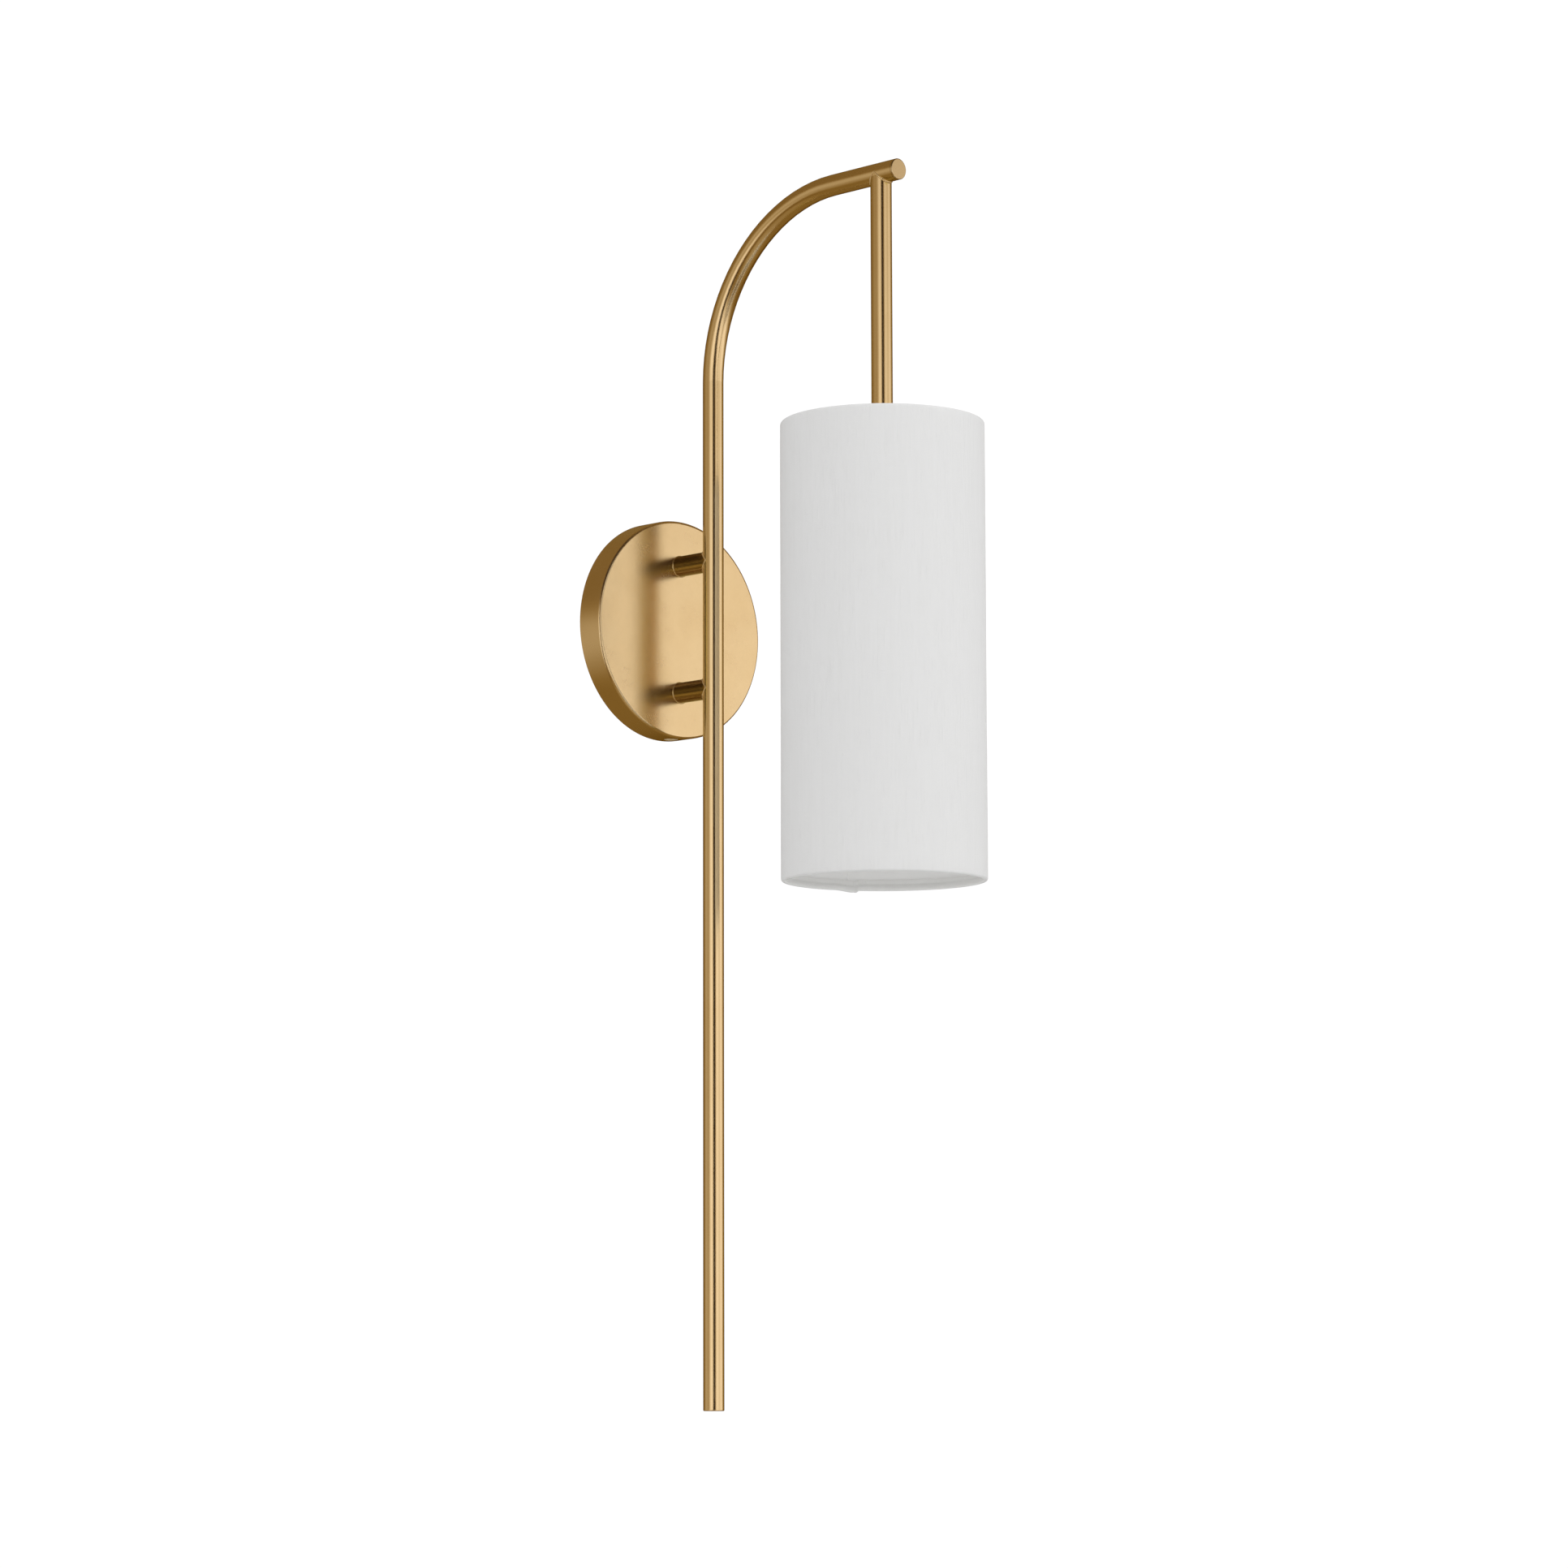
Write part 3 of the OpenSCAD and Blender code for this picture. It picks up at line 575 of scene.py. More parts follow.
def cover_sheet():
    """The linen cover: one sheet round the drum, turned in over the wire ring at each rim."""
    segments = 480
    path = cloth_path()
    hem_r = SHADE_R - 2 * ROLL_R + 0.4 * MM
    top = SHADE_Z1 - ROLL_R
    lengths = [0.0]
    for p, q in zip(path, path[1:]):
        lengths.append(lengths[-1] + math.dist(p, q))
    normals = []
    for i in range(len(path)):
        p, q = path[max(i - 1, 0)], path[min(i + 1, len(path) - 1)]
        t = Vector((q[0] - p[0], q[1] - p[1])).normalized()
        normals.append(Vector((t.y, -t.x)))
    verts, uvs = [], []
    # Up the outer side of the cloth and back down its inner side.
    order = [(i, 1) for i in range(len(path))] + [(i, -1) for i in reversed(range(len(path)))]
    for i, side in order:
        for j in range(segments):
            a = TAU * j / segments
            r, z = path[i]
            r, z = r + normals[i].x * side * COVER_T / 2, z + normals[i].y * side * COVER_T / 2
            if z > SHADE_MID and path[i][0] < hem_r:
                z = top + (z - top) * hem_share(a)
            r, z = cloth_point(r, z, a)
            verts.append(ROD_AXIS + Vector((r * math.cos(a), r * math.sin(a), z)))
            uvs.append((a * SHADE_R, lengths[i]))
    faces = grid_faces(len(order), segments, wrap_rows=True)
    piece = solid("linen_cover", verts, faces, MATERIALS["linen"], SHADE, uvs, sharp=60)
    fix_seam_uv(piece)
    # The hem rows take the paler, glowing copy of the linen: painted light.
    piece.data.materials.append(MATERIALS["hem"])
    for row, (i, _) in enumerate(order):
        if min(i, len(path) - 1 - i) <= HEM_ROWS:
            for face in piece.data.polygons[row * segments:(row + 1) * segments]:
                face.material_index = 1
    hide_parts("shade_cover")


def fix_seam_uv(piece):
    """Lets the last column of faces run on past the full turn, so that the weave isn't squeezed there."""
    layer = piece.data.uv_layers["cloth"]
    full = TAU * SHADE_R
    for face in piece.data.polygons:
        us = [layer.data[i].uv.x for i in face.loop_indices]
        if max(us) - min(us) > full / 2:
            for i in face.loop_indices:
                if layer.data[i].uv.x < full / 2:
                    layer.data[i].uv.x += full


# ---------------- brazed joints


def braze_bead(name, joint, towards, seed):
    """A fillet of brazing metal round a tube of TUBE_R that meets another of the same size.

    joint is the point where the two axes cross. The first tube comes from joint + towards, and the other runs
    along the remaining axis of the arm's plane.
    """
    other = UP if abs(towards.y) > 0.5 else IN
    across = Vector((1, 0, 0))
    around, ring = 160, 12
    small_turn = 0.01
    verts = []

    def centre(a):
        x, y = TUBE_R * math.cos(a), TUBE_R * math.sin(a)
        rise = math.sqrt(max(TUBE_R**2 - x * x, 0))
        return joint + across * x + other * y + towards * rise

    for i in range(around):
        a = TAU * i / around
        p, q = centre(a), centre(a + small_turn)
        t = (q - centre(a - small_turn)).normalized()
        out = (p - joint).normalized()
        out = (out - t * out.dot(t)).normalized()
        up = t.cross(out)
        wobble = noise.noise(Vector((math.cos(a) * 4, math.sin(a) * 4, seed)))
        r = (0.32 + 0.5 * abs(math.sin(a)) + 0.16 * wobble) * MM
        for j in range(ring):
            b = TAU * j / ring
            verts.append(p + out * (math.cos(b) * r) + up * (math.sin(b) * r))
    piece = solid(name, verts, grid_faces(around, ring, wrap_rows=True), MATERIALS["braze"], FIXTURE)


def post_feet():
    """The fine rounded collar on which each post stands on the canopy."""
    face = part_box("canopy")[0][1]
    rows = arc_rows(span("upper_post", 0) / 2, 0, 0.4 * MM, 0, 330, 11)
    collars = [lathe(rows, place=placed((0, face, z), OUT)) for z in (POST_Z, -POST_Z)]
    piece = solid("post_feet", *merge(*collars), MATERIALS["canopy_brass"], FIXTURE)


# ---------------- fasteners and fittings

BODY_OF = {node: body for body, nodes in frame["record"]["behaviour"]["bodies"].items() for node in nodes}


def detail(node, *parts, sharp=40):
    """A finely made piece that stands for a CAD node, with that node's body and material."""
    verts, faces = merge(*parts)
    piece = solid(node + "_detail", verts, faces, MATERIALS[FINISH[node]], BODY_OF[node], sharp=sharp)
    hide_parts(node)


def scaled(rows, base=0.0):
    """Rows of (r, z) given in millimetres, with z counted from base, in metres."""
    return [(r * MM, base + z * MM) for r, z in rows]


def hexagon(flats):
    """A shape for lathe(): whatever is wider than a hexagon is cut down to it."""

    def shape(r, z, a):
        side = flats / 2 / math.cos(a % (TAU / 6) - TAU / 12)
        return (min(r, side) if r > flats * 0.49 else r), z

    return shape


def both(first, second):
    """Two shapes for lathe(), one after the other."""

    def shape(r, z, a):
        return second(*first(r, z, a), a)

    return shape


def driver_recess(z_top, depth, half, reach, cross=True, turn=0.0):
    """A shape for lathe(): a slot or a cross sunk into the head's top, tapering as it goes down."""

    def wing(u, v):
        wall = min(1, max(0, (half - abs(v)) / (0.22 * MM) + 0.5))
        end = min(1, max(0, (reach - abs(u)) / (0.3 * MM) + 0.5))
        return wall * end * (1 - (0.5 if cross else 0.0) * min(1, abs(u) / reach))

    def shape(r, z, a):
        if z < z_top - 0.05 * MM:
            return r, z
        x, y = r * math.cos(a - turn), r * math.sin(a - turn)
        return r, z - depth * max(wing(x, y), wing(y, x) if cross else 0)

    return shape


def disc_rows(r, z, crown):
    """Rows across a round top, flat or crowned, from its edge to its middle."""
    n = max(4, round(r / (0.13 * MM)))
    return [(r * (1 - i / n) + 0.02 * MM, z + crown * (1 - (1 - i / n) ** 2)) for i in range(1, n + 1)]


def machine_screw(length, radius, pitch, head_rows, top_r, top_z, recess, place, crown=0.0):
    """A threaded shank along -Z with a head on it whose top has a recess. Its sizes are in millimetres."""
    tip = scaled([(0.05, -length), (radius - 0.45, -length), (radius - 0.05, -length + 0.5)])
    under = head_rows[0][1]
    shank = threaded_rows(radius * MM, (-length + 0.55) * MM, (under - 0.1) * MM, pitch * MM, 8)
    rows = tip + shank + scaled(head_rows) + disc_rows(top_r * MM, top_z * MM, crown * MM)
    ends = (-length + 0.5) * MM, (under - 0.05) * MM
    cut = thread(pitch * MM, 0.28 * pitch * MM, *ends, hi=radius * 1.01 * MM)
    return lathe(rows, both(cut, recess), 72, closed=False, place=place)


def ring_rows(r_in, r_out, z0, z1, edge):
    """A closed ring's section with softened edges, in millimetres."""
    cut = 0.3 * edge
    return scaled([
        (r_in + edge, z0), (r_out - edge, z0), (r_out - cut, z0 + cut), (r_out, z0 + edge),
        (r_out, z1 - edge), (r_out - cut, z1 - cut), (r_out - edge, z1), (r_in + edge, z1),
        (r_in + cut, z1 - cut), (r_in, z1 - edge), (r_in, z0 + edge), (r_in + cut, z0 + cut),
    ])


def hex_nut(place):
    """A thin nut with chamfered corners and a threaded bore."""
    flats, bore, height, pitch = 14, 4.9, 3.5, 1.0
    corner, side = flats / 2 / math.cos(math.pi / 6), flats / 2
    fall = (corner - side) * 0.6
    outer = [
        (side * 0.98, 0), (side, 0.05), (corner, fall), (corner, height - fall), (side, height - 0.05),
        (side * 0.98, height),
    ]
    mouth = [(bore + 0.45, height), (bore, height - 0.45)]
    up = threaded_rows(bore, 0.5 * MM, (height - 0.5) * MM, pitch * MM, 8)
    down = [(bore * MM, z) for _, z in reversed(up)]
    rows = scaled(outer + mouth) + down + scaled([(bore, 0.45), (bore + 0.45, 0)])
    cut = thread(pitch * MM, -0.45 * pitch * MM, 0.4 * MM, (height - 0.4) * MM, hi=(bore + 0.1) * MM)
    return lathe(rows, both(cut, hexagon(flats * MM)), 72, place=place)


def nipple(place, bore):
    """A threaded tube, or a threaded stud where bore is 0. bore is in millimetres."""
    crest, root, length, pitch = 4.85, 4.3, 18, 1.0
    rows = scaled([(max(bore, 0.05), 0), (root, 0)])
    rows += threaded_rows(crest * MM, 0.1 * MM, (length - 0.1) * MM, pitch * MM, 8)
    rows += scaled([(root, length), (max(bore, 0.05), length)])
    if bore:
        rows += scaled([(bore, length * (1 - i / 4)) for i in range(1, 4)])
    cut = thread(pitch * MM, (crest - root) * MM, 0, length * MM, lo=(root + 0.1) * MM, ends=1.2)
    return lathe(rows, cut, 60, closed=bool(bore), place=place)


def fit_fasteners():
    """Screws, washers, nuts and nipples."""
    screw_y = middle("canopy_screws").y
    reach = -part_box("canopy_screws")[0][2]
    head = [(2.0, -2.23), (4.06, -0.17), (4.12, -0.1), (4.1, -0.03), (4.0, 0)]
    cross = driver_recess(0, 1.25 * MM, 0.5 * MM, 2.5 * MM, turn=math.radians(45))
    detail("canopy_screws", *[
        machine_screw(
            length=10.85, radius=2.0, pitch=0.7, head_rows=head, top_r=3.95, top_z=0, recess=cross, crown=0.5,
            place=placed((0, screw_y, side * reach), (0, 0, side)),
        )
        for side in (1, -1)
    ], sharp=30)

    strap_out = 1.6
    flange = [
        (2.0, 0.02), (4.45, 0.0), (4.6, 0.15), (4.6, 0.75), (4.3, 1.0), (3.45, 1.02), (3.5, 1.1), (4.0, 1.4),
        (4.0, 3.6), (3.5, 3.95), (3.3, 4.0),
    ]
    slot = driver_recess(4.0 * MM, 1.1 * MM, 0.55 * MM, 5 * MM, cross=False)
    detail("ground_screw", machine_screw(
        length=3.6, radius=2.0, pitch=0.8, head_rows=flange, top_r=3.2, top_z=4.0,
        recess=both(hexagon(6.93 * MM), slot),
        place=placed((0, -(strap_out + 2.2) * MM, middle("ground_screw").z), OUT),
    ), sharp=30)

    back = -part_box("post_washers")[1][1] / MM
    washer = ring_rows(r_in=5.1, r_out=9.0, z0=0, z1=0.8, edge=0.12)
    detail("post_washers", *[
        lathe(washer, place=placed((0, -(back + 0.8) * MM, z), IN)) for z in (POST_Z, -POST_Z)
    ])
    nut_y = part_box("post_nuts")[0][1]
    detail("post_nuts", *[hex_nut(placed((0, nut_y, z), IN)) for z in (POST_Z, -POST_Z)])
    detail("rod_nut", hex_nut(placed((0, ROD.y, heights("rod_nut")[0]))))
    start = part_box("upper_nipple")[1][1]
    detail("upper_nipple", nipple(placed((0, start, POST_Z), OUT), bore=3.25))
    detail("lower_nipple", nipple(placed((0, start, -POST_Z), OUT), bore=0))
    detail("rod_nipple", nipple(placed((0, ROD.y, heights("rod_nipple")[0])), bore=3.25))
    bushing = [
        (2.65, -4), (2.9, -4), (3.2, -3.8), (3.2, 0), (4.1, 0), (4.2, 0.12), (4.2, 0.55), (4.05, 0.82),
        (3.75, 0.98), (3.4, 1.0), (3.0, 0.95), (2.75, 0.75), (2.65, 0.4),
    ]
    detail("nipple_bushing", lathe(scaled(bushing), segments=72, place=placed((0, start, POST_Z), IN)))


def connector(place):
    """A twist-on connector: a ribbed cone with two wings, closed at its narrow end."""
    rows = [(0.1, -15), (1.6, -15), (2.3, -14.6), (2.6, -13.9)]
    rows += [(2.6 + 1.9 * (i / 14) ** 0.9, -13.9 + 14.4 * i / 14) for i in range(1, 15)]
    rows += [
        (4.58, 0.8), (4.6, 1.2), (4.6, 3.4), (4.5, 3.85), (4.2, 4.0), (3.75, 3.95), (3.45, 3.7), (3.3, 3.0),
        (3.1, -2), (2.0, -7), (0.1, -7.5),
    ]

    def grip(r, z, a):
        if r < 2.5 * MM or not -13 * MM < z < 0.6 * MM or r < 3.12 * MM and z > -9 * MM:
            return r, z
        rib = 0.22 * MM * (0.5 + 0.5 * math.cos(18 * a))
        ends = min(1, (z + 13 * MM) / (1.5 * MM), (0.6 * MM - z) / (0.8 * MM))
        wing = max(0, math.cos(a)) ** 60 + max(0, -math.cos(a)) ** 60
        return r + ends * (rib + 1.5 * MM * wing), z

    return lathe(scaled(rows), grip, 108, closed=False, place=place)


def holder():
    """The lamp holder: its threaded body, screw shell, centre contact and terminal screws."""
    flange = heights("shade_ring")[1] + 1.3 * MM
    base, top = heights("holder_body")
    crest, root, pitch = 19.2 * MM, 18.3 * MM, 2.5 * MM
    rows = scaled([(0.05, 0), (16.5, 0), (18.3, -0.3), (18.8, -1)], top)
    rows += scaled([
        (18.8, 2.5), (19.6, 2.5), (21.0, 2.5), (21.35, 2.35), (21.5, 2.0), (21.5, 0.5), (21.35, 0.15),
        (21.0, 0), (18.5, 0),
    ], flange)
    rows += reversed(threaded_rows(crest, base + 1.2 * MM, flange - 0.6 * MM, pitch, 10))
    rows += scaled([
        (18.2, 0.9), (18.0, 0.25), (17.6, 0), (15.2, 0), (14.75, 0.2), (14.6, 0.6), (14.6, 29.9), (0.05, 30),
    ], base)
    cut = thread(pitch, crest - root, base + MM, flange - 0.4 * MM, lo=crest - 0.02 * MM, round_form=True)
    detail("holder_body", lathe(rows, cut, 120, closed=False, place=ON_ROD))

    inner, sheet, depth, pitch = 13.4 * MM, 0.5 * MM, 0.55 * MM, 3.6 * MM
    low, high = heights("holder_shell")
    levels = [z for _, z in threaded_rows(inner, low, high, pitch, 12)]
    rows = [(inner, z) for z in levels] + [(inner + sheet, z) for z in reversed(levels)]
    cut = thread(pitch, -depth, low, high, round_form=True)
    detail("holder_shell", lathe(rows, cut, 96, place=ON_ROD))

    # The contact is a strip bent back under itself, in (y, z) from the rod's axis, in millimetres.
    low, high = heights("holder_contact")
    y = ROD.y / MM
    zt, zb = high / MM - 0.27, low / MM + 0.27
    bends = [
        (9.3, zt), (3, zt), (-2.2, zt), (-3.1, zt - 0.45), (-3.2, (zt + zb) / 2), (-2.9, zb + 0.35),
        (-1.8, zb), (1.5, zb), (3.6, zb + 0.15),
    ]
    strip = [Vector((0, y + out, z)) * MM for out, z in bends]
    detail("holder_contact", ribbon(strip, 5.8 * MM, 0.46 * MM))

    z = heights("terminal_screws")[0]
    slot = driver_recess(3.4 * MM, 0.6 * MM, 0.3 * MM, 5 * MM, cross=False)
    head = [(1.45, 2.0), (2.3, 2.02), (2.4, 2.15), (2.4, 3.1), (2.25, 3.35), (2.1, 3.4)]
    detail("terminal_screws", *[
        machine_screw(
            length=0, radius=1.45, pitch=0.5, head_rows=head, top_r=2.05, top_z=3.4, recess=slot,
            place=placed((x, ROD.y, z)),
        )
        for x in (-11.5 * MM, 11.5 * MM)
    ])


def ribbon(path, width, thick):
    """A flat spring strip along a path in the plane x = 0, with rounded edges."""
    points = smooth_path(path, 8)
    section = [(-0.5, -0.3), (-0.48, -0.5), (0.48, -0.5), (0.5, -0.3)]
    section += [(-u, -v) for u, v in section]
    side = Vector((1, 0, 0))
    verts = []
    for i, p in enumerate(points):
        up = side.cross(tangent(points, i))
        verts += [p + side * (u * width) + up * (v * thick) for u, v in section]
    n = len(section)
    faces = grid_faces(len(points), n)
    faces += [tuple(reversed(range(n))), tuple(range(len(verts) - n, len(verts)))]
    return verts, faces


def shade_frame():
    """The shade's ring, the fitter ring that it holds up, and the spider's arms."""
    low, high = heights("shade_ring")
    h = (high - low) / MM
    rows = [(19.7, 0), (23.2, 0), (23.8, 0.2), (24.0, 0.7)]
    rows += [(24.0, 0.7 + (h - 3.3) * i / 6) for i in range(1, 7)]
    rows += [
        (24.1, h - 2.3), (24.8, h - 2.05), (25.0, h - 1.7), (25.0, h - 0.4), (24.8, h - 0.08), (24.4, h),
        (19.8, h), (19.4, h - 0.4),
    ]
    bore = threaded_rows(19.35 * MM, 0.5 * MM, (h - 0.5) * MM, 2.5 * MM, 10)
    rows = scaled(rows) + list(reversed(bore)) + scaled([(19.4, 0.3)])
    cut = thread(2.5 * MM, -0.6 * MM, 0.4 * MM, (h - 0.4) * MM, hi=19.6 * MM, round_form=True)

    def grip(r, z, a):
        """Shallow ribs round the ring's outside."""
        if r < 23.7 * MM or z > (h - 2.2) * MM:
            return r, z
        ends = min(1, z / (1.2 * MM))
        return r + 0.58 * MM * ends * max(0, math.cos(24 * a)) ** 0.6, z

    detail("shade_ring", lathe(rows, both(cut, grip), 288, place=placed(ROD_AXIS + UP * low)))

    low = heights("fitter_ring")[0]
    plate = scaled([
        (19.7, 0), (23.4, 0), (24.3, 0.12), (25.0, 0.5), (26.6, 0.5), (27.2, 0.12), (27.8, 0), (28.8, 0),
        (29.0, 0.2), (29.0, 1.0), (28.8, 1.18), (27.9, 1.18), (27.3, 1.3), (26.6, 1.75), (25.0, 1.75),
        (24.2, 1.3), (23.4, 1.18), (19.7, 1.18), (19.6, 1.0), (19.6, 0.2),
    ])
    detail("fitter_ring", lathe(plate, segments=128, place=placed(ROD_AXIS + UP * low)))

    # Each arm is a bar from the plate to the wire ring, with a pressed foot and a blob of weld, in (r, z).
    wire_r, wire_z = WIRE_RING_R / MM, middle("upper_wire_ring").z / MM
    z = low / MM + 1.2
    bar = [
        (24.0, z + 1.28), (26.2, z + 1.26), (28.4, z + 1.7), (30.6, z + 4.1), (33.4, z + 8.1),
        (44.2, z + 24.2), (wire_r - 2.5, wire_z - 3.4), (wire_r - 1.15, wire_z - 1.45),
    ]
    foot = [(23.4, z + 0.35), (25.0, z + 0.42), (27.2, z + 0.42), (28.4, z + 0.2)]
    weld = [(wire_r - 1.9, wire_z - 1.9), (wire_r - 1.1, wire_z - 1.0), (wire_r - 0.75, wire_z - 0.55)]
    arms = []
    for turn in ARM_TURNS:
        out = Vector((math.cos(turn), math.sin(turn), 0))

        def curve(points, steps):
            return smooth_path([ROD_AXIS + out * (r * MM) + UP * (z * MM) for r, z in points], steps)

        arms.append(along(curve(bar, 10), 1.3 * MM, 28))
        arms.append(along(curve(foot, 6), lambda t: (1.35 + 0.25 * math.sin(9 * t)) * MM, 20, flat=0.55))
        arms.append(along(curve(weld, 6), lambda t: (1.25 - 0.35 * t) * MM, 20))
    detail("spider_arms", *arms)


def bulb():
    """The globe, its screw cap, the insulator and the tip contact."""
    tip_z = heights("bulb_tip")[1]
    cap_top = heights("bulb_insulator")[0] - 0.7 * MM
    low, high = heights("bulb_globe")
    r = span("bulb_globe", 0) / 2
    centre = low + r
    lift = math.radians(25)
    z1, z2 = centre + r * math.sin(lift), high - 7 * MM

    def glass(r, neck):
        """A ball up to lift above its middle, then a smooth shoulder (a Hermite curve) to the neck."""
        rows = arc_rows(0, centre, r, -89.9, 25, 36)
        slope = -math.tan(lift) * (z2 - z1)
        for i in range(1, 25):
            t = i / 24
            shoulder = r * math.cos(lift) * (2 * t**3 - 3 * t**2 + 1) + slope * (t**3 - 2 * t**2 + t)
            rows.append((shoulder + neck * (3 * t**2 - 2 * t**3), z1 + t * (z2 - z1)))
        return rows + [(neck, high)]

    neck, wall = 11.6 * MM, 0.8 * MM
    rows = glass(r, neck) + list(reversed(glass(r - wall, neck - wall)))
    detail("bulb_globe", lathe(rows, segments=128, place=ON_ROD), sharp=60)

    base = heights("bulb_cap")[0]
    crest, root, pitch = 13.1 * MM, 12.35 * MM, 3.6 * MM
    rows = scaled([(11.65, 0.3), (11.9, 0), (12.9, 0), (13.1, 0.25), (13.1, 1.3)], base)
    rows += threaded_rows(crest, base + 1.6 * MM, cap_top - 0.4 * MM, pitch, 12)
    rows += scaled([
        (12.25, 0), (11.35, 0.75), (10.05, 1.35), (9.95, 0.6), (11.55, -0.6), (11.65, -1.6),
    ], cap_top)
    ends = base + 1.4 * MM, cap_top - 0.2 * MM
    cut = thread(pitch, crest - root, *ends, lo=crest - 0.02 * MM, round_form=True, ends=0.9)
    detail("bulb_cap", lathe(rows, cut, 120, place=ON_ROD), sharp=60)

    disc = [
        (0.05, 0.7), (9.75, 0.72), (9.85, 0.8), (9.85, 1.35), (9.6, 1.6), (8.6, 2.3), (7.5, 2.8), (6.8, 2.9),
        (0.05, 2.9),
    ]
    detail("bulb_insulator", lathe(scaled(disc, cap_top), closed=False, place=ON_ROD), sharp=60)

    # The tip's rows are in millimetres across and in shares of its height.
    foot = cap_top + 2.9 * MM
    height = tip_z - cap_top - 2.9 * MM
    blob = [
        (0.05, 0), (5.2, 0), (5.2, 0.05), (5.0, 0.35), (4.6, 0.6), (4.0, 0.83), (3.2, 0.96), (2.2, 1.0),
        (1.1, 1.0), (0.05, 1.0),
    ]

    def lumpy(r, z, a):
        n = noise.noise(Vector((r * math.cos(a), r * math.sin(a), 0)) * 500)
        return r * (1 - 0.06 * abs(n)), z - (0.12 * MM * abs(n) if z > cap_top + 3.3 * MM else 0)

    rows = [(r * MM, foot + share * height) for r, share in blob]
    detail("bulb_tip", lathe(rows, lumpy, 72, closed=False, place=ON_ROD), sharp=60)


# ---------------- studio and camera


def studio_world():
    """Even white light, and for reflections a studio of soft panels with darker gaps between them."""
    world = bpy.data.worlds.new("studio")
    bpy.context.scene.world = world
    world.use_nodes = True
    tree = world.node_tree
    tree.nodes.clear()
    link = tree.links.new

    def node(kind, inputs=None, **settings):
        return new_node(tree, kind, inputs, **settings)

    def combine(a, b, operation="MULTIPLY"):
        n = node("ShaderNodeMath", operation=operation)
        link(a, n.inputs[0])
        link(b, n.inputs[1])
        return n.outputs[0]

    def ramp(stops, source, interpolation="EASE"):
        """A colour for each value of source."""
        n = node("ShaderNodeValToRGB")
        n.color_ramp.interpolation = interpolation
        e = n.color_ramp.elements
        while len(e) > 1:
            e.remove(e[-1])
        for k, (at, color) in enumerate(stops):
            item = e[0] if k == 0 else e.new(at)
            item.position = at
            item.color = (*color, 1)
        link(source, n.inputs[0])
        return n.outputs[0]

    # The azimuth as a share of a full turn, leaning more the lower the ray points, and the height.
    parts = node("ShaderNodeSeparateXYZ")
    link(node("ShaderNodeTexCoord").outputs["Generated"], parts.inputs[0])
    share = node("ShaderNodeMath", {1: 1 / TAU, 2: PANEL_START}, operation="MULTIPLY_ADD")
    link(combine(parts.outputs["Y"], parts.outputs["X"], "ARCTAN2"), share.inputs[0])
    lean = node("ShaderNodeMapRange", {"From Min": -1, "From Max": 0, "To Min": LEAN / 360, "To Max": 0})
    link(parts.outputs["Z"], lean.inputs["Value"])
    around = node("ShaderNodeMath", operation="FRACT")
    link(combine(share.outputs[0], lean.outputs[0], "ADD"), around.inputs[0])
    height = node("ShaderNodeMapRange", {"From Min": -1})
    link(parts.outputs["Z"], height.inputs["Value"])

    def by_azimuth(stops):
        return ramp([((a + 180) / 360, (v, v, v)) for a, v in stops], around.outputs[0])

    def by_height(stops):
        return ramp([((h + 1) / 2, (v, v, v)) for h, v in stops], height.outputs[0])

    level = node("ShaderNodeMix", data_type="FLOAT")
    link(by_height(PANEL_HEIGHTS), level.inputs[0])
    floor_light = combine(by_azimuth(FLOOR_LIGHT), by_height(FLOOR_HEIGHTS))
    link(combine(by_azimuth(ROOM), floor_light, "ADD"), level.inputs[2])
    link(by_azimuth(PANELS), level.inputs[3])
    glow = combine(by_azimuth(SIDE_GLOW), by_height(GLOW_HEIGHTS))
    warm = ramp(WARMTH, combine(level.outputs[0], glow, "ADD"), "LINEAR")

    # Light that comes off two brass surfaces in turn is dimmed.
    path = node("ShaderNodeLightPath")
    again = node("ShaderNodeMath", {1: 1}, operation="SUBTRACT", use_clamp=True)
    link(path.outputs["Glossy Depth"], again.inputs[0])
    twice = node("ShaderNodeMix", {7: (*TWICE_MIRRORED, 1)}, data_type="RGBA", blend_type="MULTIPLY")
    link(again.outputs[0], twice.inputs[0])
    link(warm, twice.inputs[6])

    # Brass mirrors the panels, matt surfaces get the even light, and the camera sees plain white.
    glossy = node("ShaderNodeBackground")
    link(twice.outputs[2], glossy.inputs[0])
    even = node("ShaderNodeBackground", {1: 1})
    link(by_azimuth(FILL), even.inputs[0])
    white = node("ShaderNodeBackground", {0: (1, 1, 1, 1), 1: 1.05})
    first, second = node("ShaderNodeMixShader"), node("ShaderNodeMixShader")
    link(path.outputs["Is Glossy Ray"], first.inputs[0])
    link(even.outputs[0], first.inputs[1])
    link(glossy.outputs[0], first.inputs[2])
    link(path.outputs["Is Camera Ray"], second.inputs[0])
    link(first.outputs[0], second.inputs[1])
    link(white.outputs[0], second.inputs[2])
    link(second.outputs[0], node("ShaderNodeOutputWorld").inputs[0])


CAMERA_AT = Vector((-1.85057, -1.98499, -0.41882))
CAMERA_YAW, CAMERA_PITCH, CAMERA_ROLL = -44.498, 6.938, -0.143
LENS_MM = 108.2785

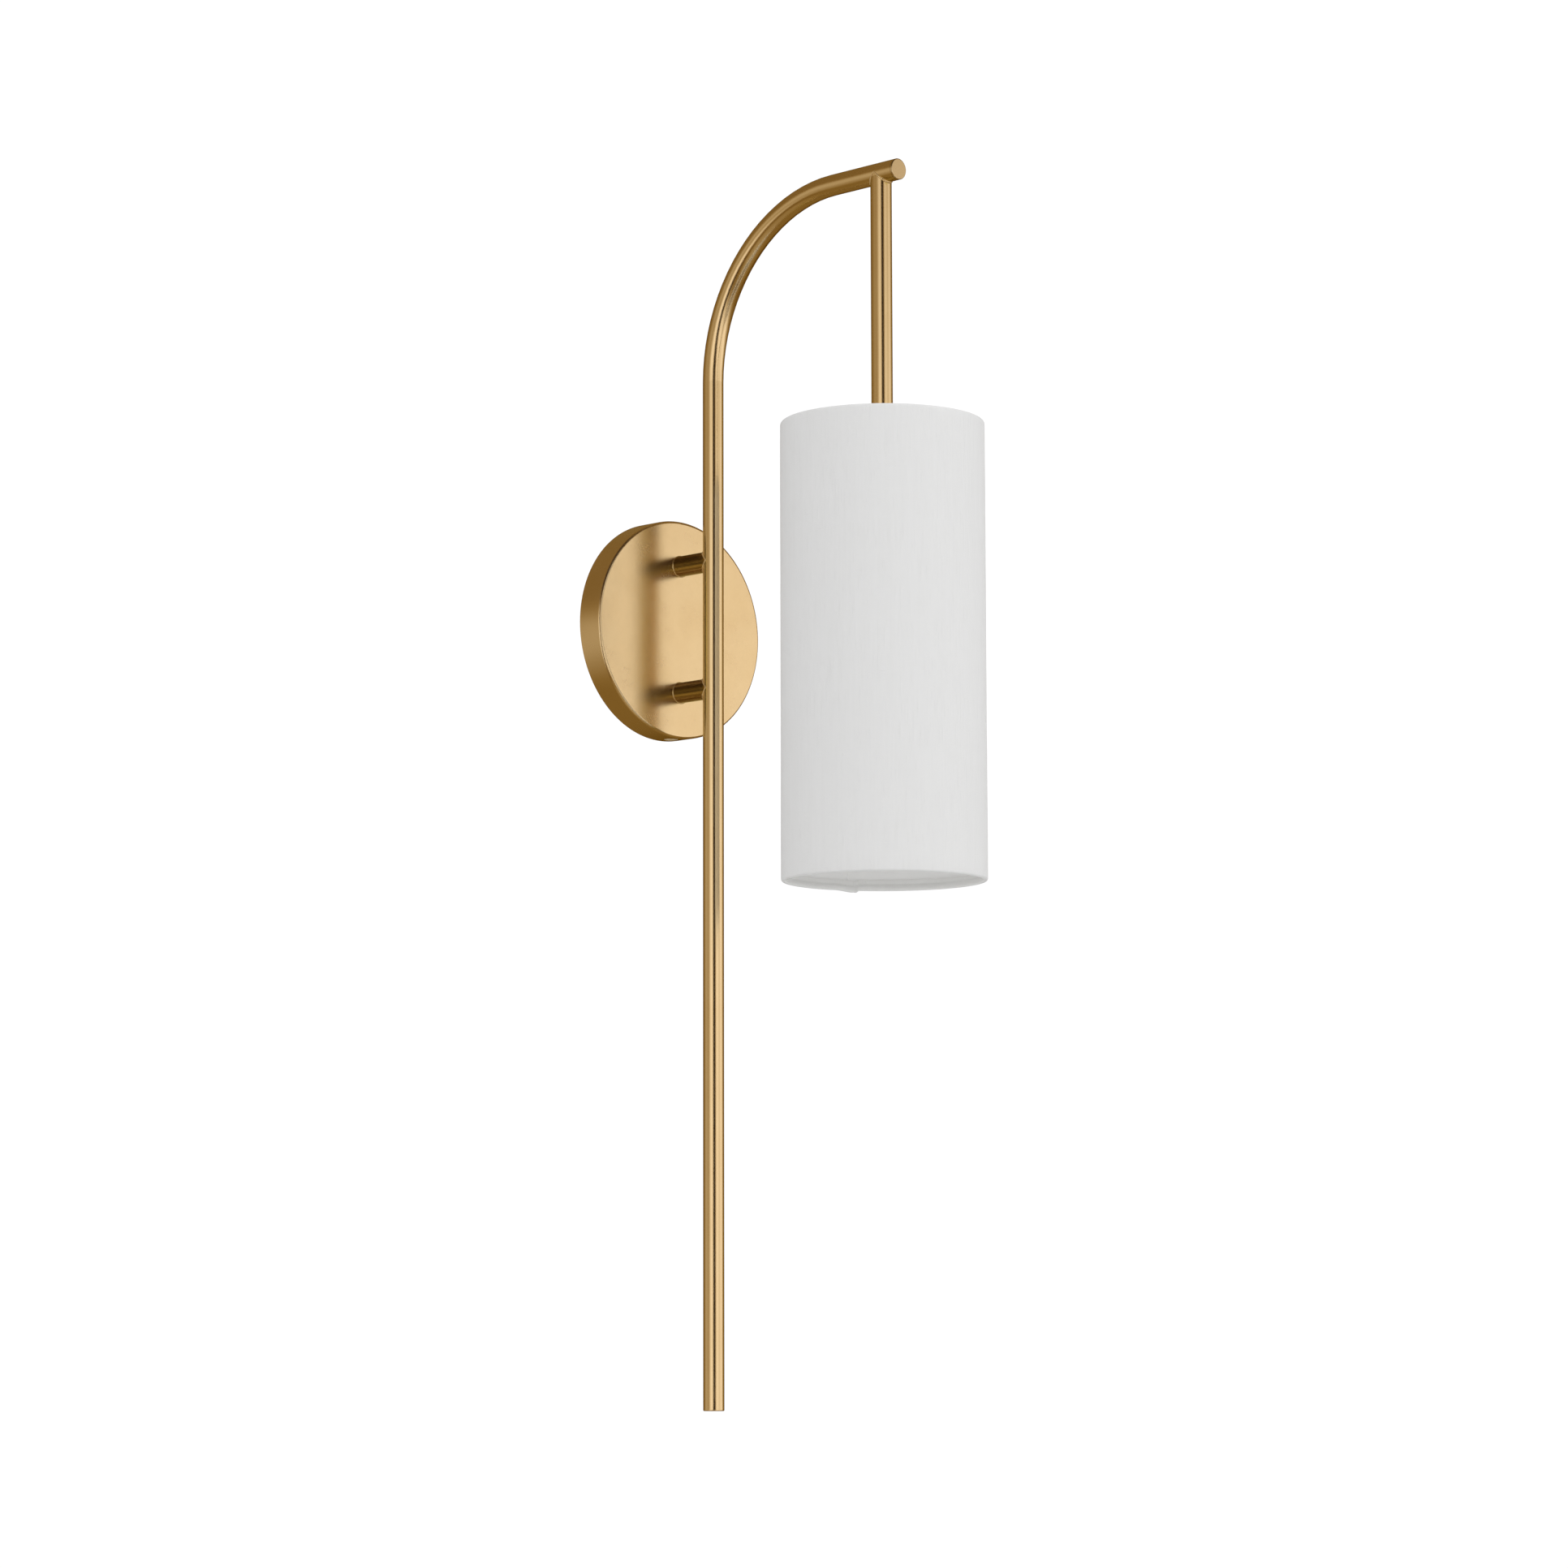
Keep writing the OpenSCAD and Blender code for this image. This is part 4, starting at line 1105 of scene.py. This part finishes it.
# Azimuth from the camera's side, in degrees to its right, and how bright the studio is there.
PANELS = [
    (-180, 0.1), (-150, 0.15), (-122, 0.2), (-95, 0.24), (-66, 0.35), (-48, 0.44), (-38, 0.72), (-29, 1.0),
    (-10, 1.04), (-6, 0.76), (-1.5, 0.08), (3, 0.005), (18, 0.005), (24, 0.35), (31, 1.0), (42, 1.0),
    (56, 0.88), (70, 0.78), (81, 0.9), (90, 1.04), (101, 0.98), (113, 0.52), (127, 0.22), (150, 0.15),
    (180, 0.1),
]
# How far round the panels lean, in degrees, from the horizon to straight down.
LEAN = 75
# How much of the panels there is by height, from -1 straight down to 1 straight up; the rest is the dim room.
PANEL_HEIGHTS = [
    (-1, 0), (-0.62, 0), (-0.53, 0.3), (-0.45, 0.8), (-0.3, 1), (0.14, 1), (0.25, 0.7), (0.45, 0), (1, 0),
]
ROOM = [(-180, 0.2), (-60, 0.2), (-25, 0.04), (60, 0.04), (100, 0.2), (180, 0.2)]
# What the studio's floor sends up, by azimuth and by height.
FLOOR_LIGHT = [
    (-180, 0.02), (-100, 0.02), (-60, 0.05), (-25, 0.26), (60, 0.34), (110, 0.2), (150, 0.1), (180, 0.06),
]
FLOOR_HEIGHTS = [(-1, 1.0), (-0.85, 1.0), (-0.6, 0.4), (-0.5, 0.0), (1, 0)]
# A soft glow to the left of the lamp, a little below its height.
SIDE_GLOW = [(-180, 0.0), (-122, 0.0), (-94, 0.22), (-80, 0.18), (-60, 0.0), (180, 0.0)]
GLOW_HEIGHTS = [(-1, 0), (-0.45, 0.0), (-0.12, 1.0), (0.04, 1.0), (0.36, 0.0), (1, 0)]
# Light that falls on matt surfaces, by azimuth.
FILL = [
    (-180, 0.14), (-142, 0.2), (-98, 0.9), (-50, 0.98), (0, 0.97), (50, 1.04), (98, 1.0), (142, 0.5),
    (180, 0.14),
]
# The panels' light is warmer where it's dimmer, as it comes back off brass and wood in the room.
WARMTH = [
    (0, (0, 0, 0)), (0.113, (0.113, 0.054, 0.001)), (0.256, (0.256, 0.172, 0.055)),
    (0.394, (0.394, 0.317, 0.194)), (0.567, (0.567, 0.493, 0.372)), (0.71, (0.71, 0.641, 0.536)),
    (0.83, (0.83, 0.774, 0.711)), (1, (1, 0.952, 0.905)),
]
# What is left of the light that reaches the camera off two brass surfaces in turn.
TWICE_MIRRORED = (0.72, 0.84, 0.66)
# The share of a turn that makes the camera's side azimuth 0.
PANEL_START = 0.5 - ((-90 + CAMERA_YAW) / 360)


def camera():
    """The main camera."""
    data = bpy.data.cameras.new("camera")
    data.lens = LENS_MM
    data.sensor_width = 36
    data.clip_end = 100
    eye = bpy.data.objects.new("camera", data)
    bpy.context.scene.collection.objects.link(eye)
    turn = Matrix.Rotation(math.radians(CAMERA_YAW), 4, "Z")
    tilt = Matrix.Rotation(math.radians(90 + CAMERA_PITCH), 4, "X")
    roll = Matrix.Rotation(math.radians(CAMERA_ROLL), 4, "Z")
    eye.matrix_world = Matrix.Translation(CAMERA_AT) @ turn @ tilt @ roll
    bpy.context.scene.camera = eye


def key_light():
    """A large soft lamp in front of the sconce and above it."""
    data = bpy.data.lights.new("key", "AREA")
    data.shape = "SQUARE"
    data.size = 1.8
    data.energy = 9
    lamp = bpy.data.objects.new("key", data)
    bpy.context.scene.collection.objects.link(lamp)
    at, aim = Vector((0.25, -2.6, 1.07)), Vector((0, -0.1, -0.1))
    lamp.location = at
    lamp.rotation_euler = (at - aim).to_track_quat("Z", "Y").to_euler()
    lamp.visible_glossy = False
    lamp.visible_camera = False


def floor():
    """A plain pale floor, low enough that a camera above it can look up at the lamp."""
    reach, height = 38.0, -3.0
    mesh = bpy.data.meshes.new("floor")
    corners = [(x * reach, y * reach, height) for x, y in ((-1, -1), (1, -1), (1, 1), (-1, 1))]
    mesh.from_pydata(corners, [], [(0, 1, 2, 3)])
    m = Nodes("floor", (0.94, 0.94, 0.935), roughness=0.7)
    m.feed("Base Color", m.tint(m.noise(3, 3), (0.94, 0.94, 0.935), (0.925, 0.925, 0.92)))
    mesh.materials.append(m.mat)
    ground = bpy.data.objects.new("floor", mesh)
    bpy.context.scene.collection.objects.link(ground)
    ground.visible_glossy = False


# ---------------- scene

finish_cad_nodes()
cover_sheet()
fit_fasteners()
leads_y = middle("wire_connectors").y
detail("wire_connectors", *[
    connector(placed((x * MM, leads_y, z * MM))) for x, z in ((-32, 12), (32, 12), (24, -36))
])
holder()
shade_frame()
bulb()
braze_bead("braze_upper_post", Vector((0, LEG.y, POST_Z)), IN, seed=1.3)
braze_bead("braze_lower_post", Vector((0, LEG.y, -POST_Z)), IN, seed=5.1)
braze_bead("braze_rod", Vector((0, ROD.y, ARM_Z)), Vector((0, 0, -1)), seed=9.7)
post_feet()
studio_world()
camera()
key_light()
floor()
bpy.context.scene.view_settings.view_transform = "Standard"
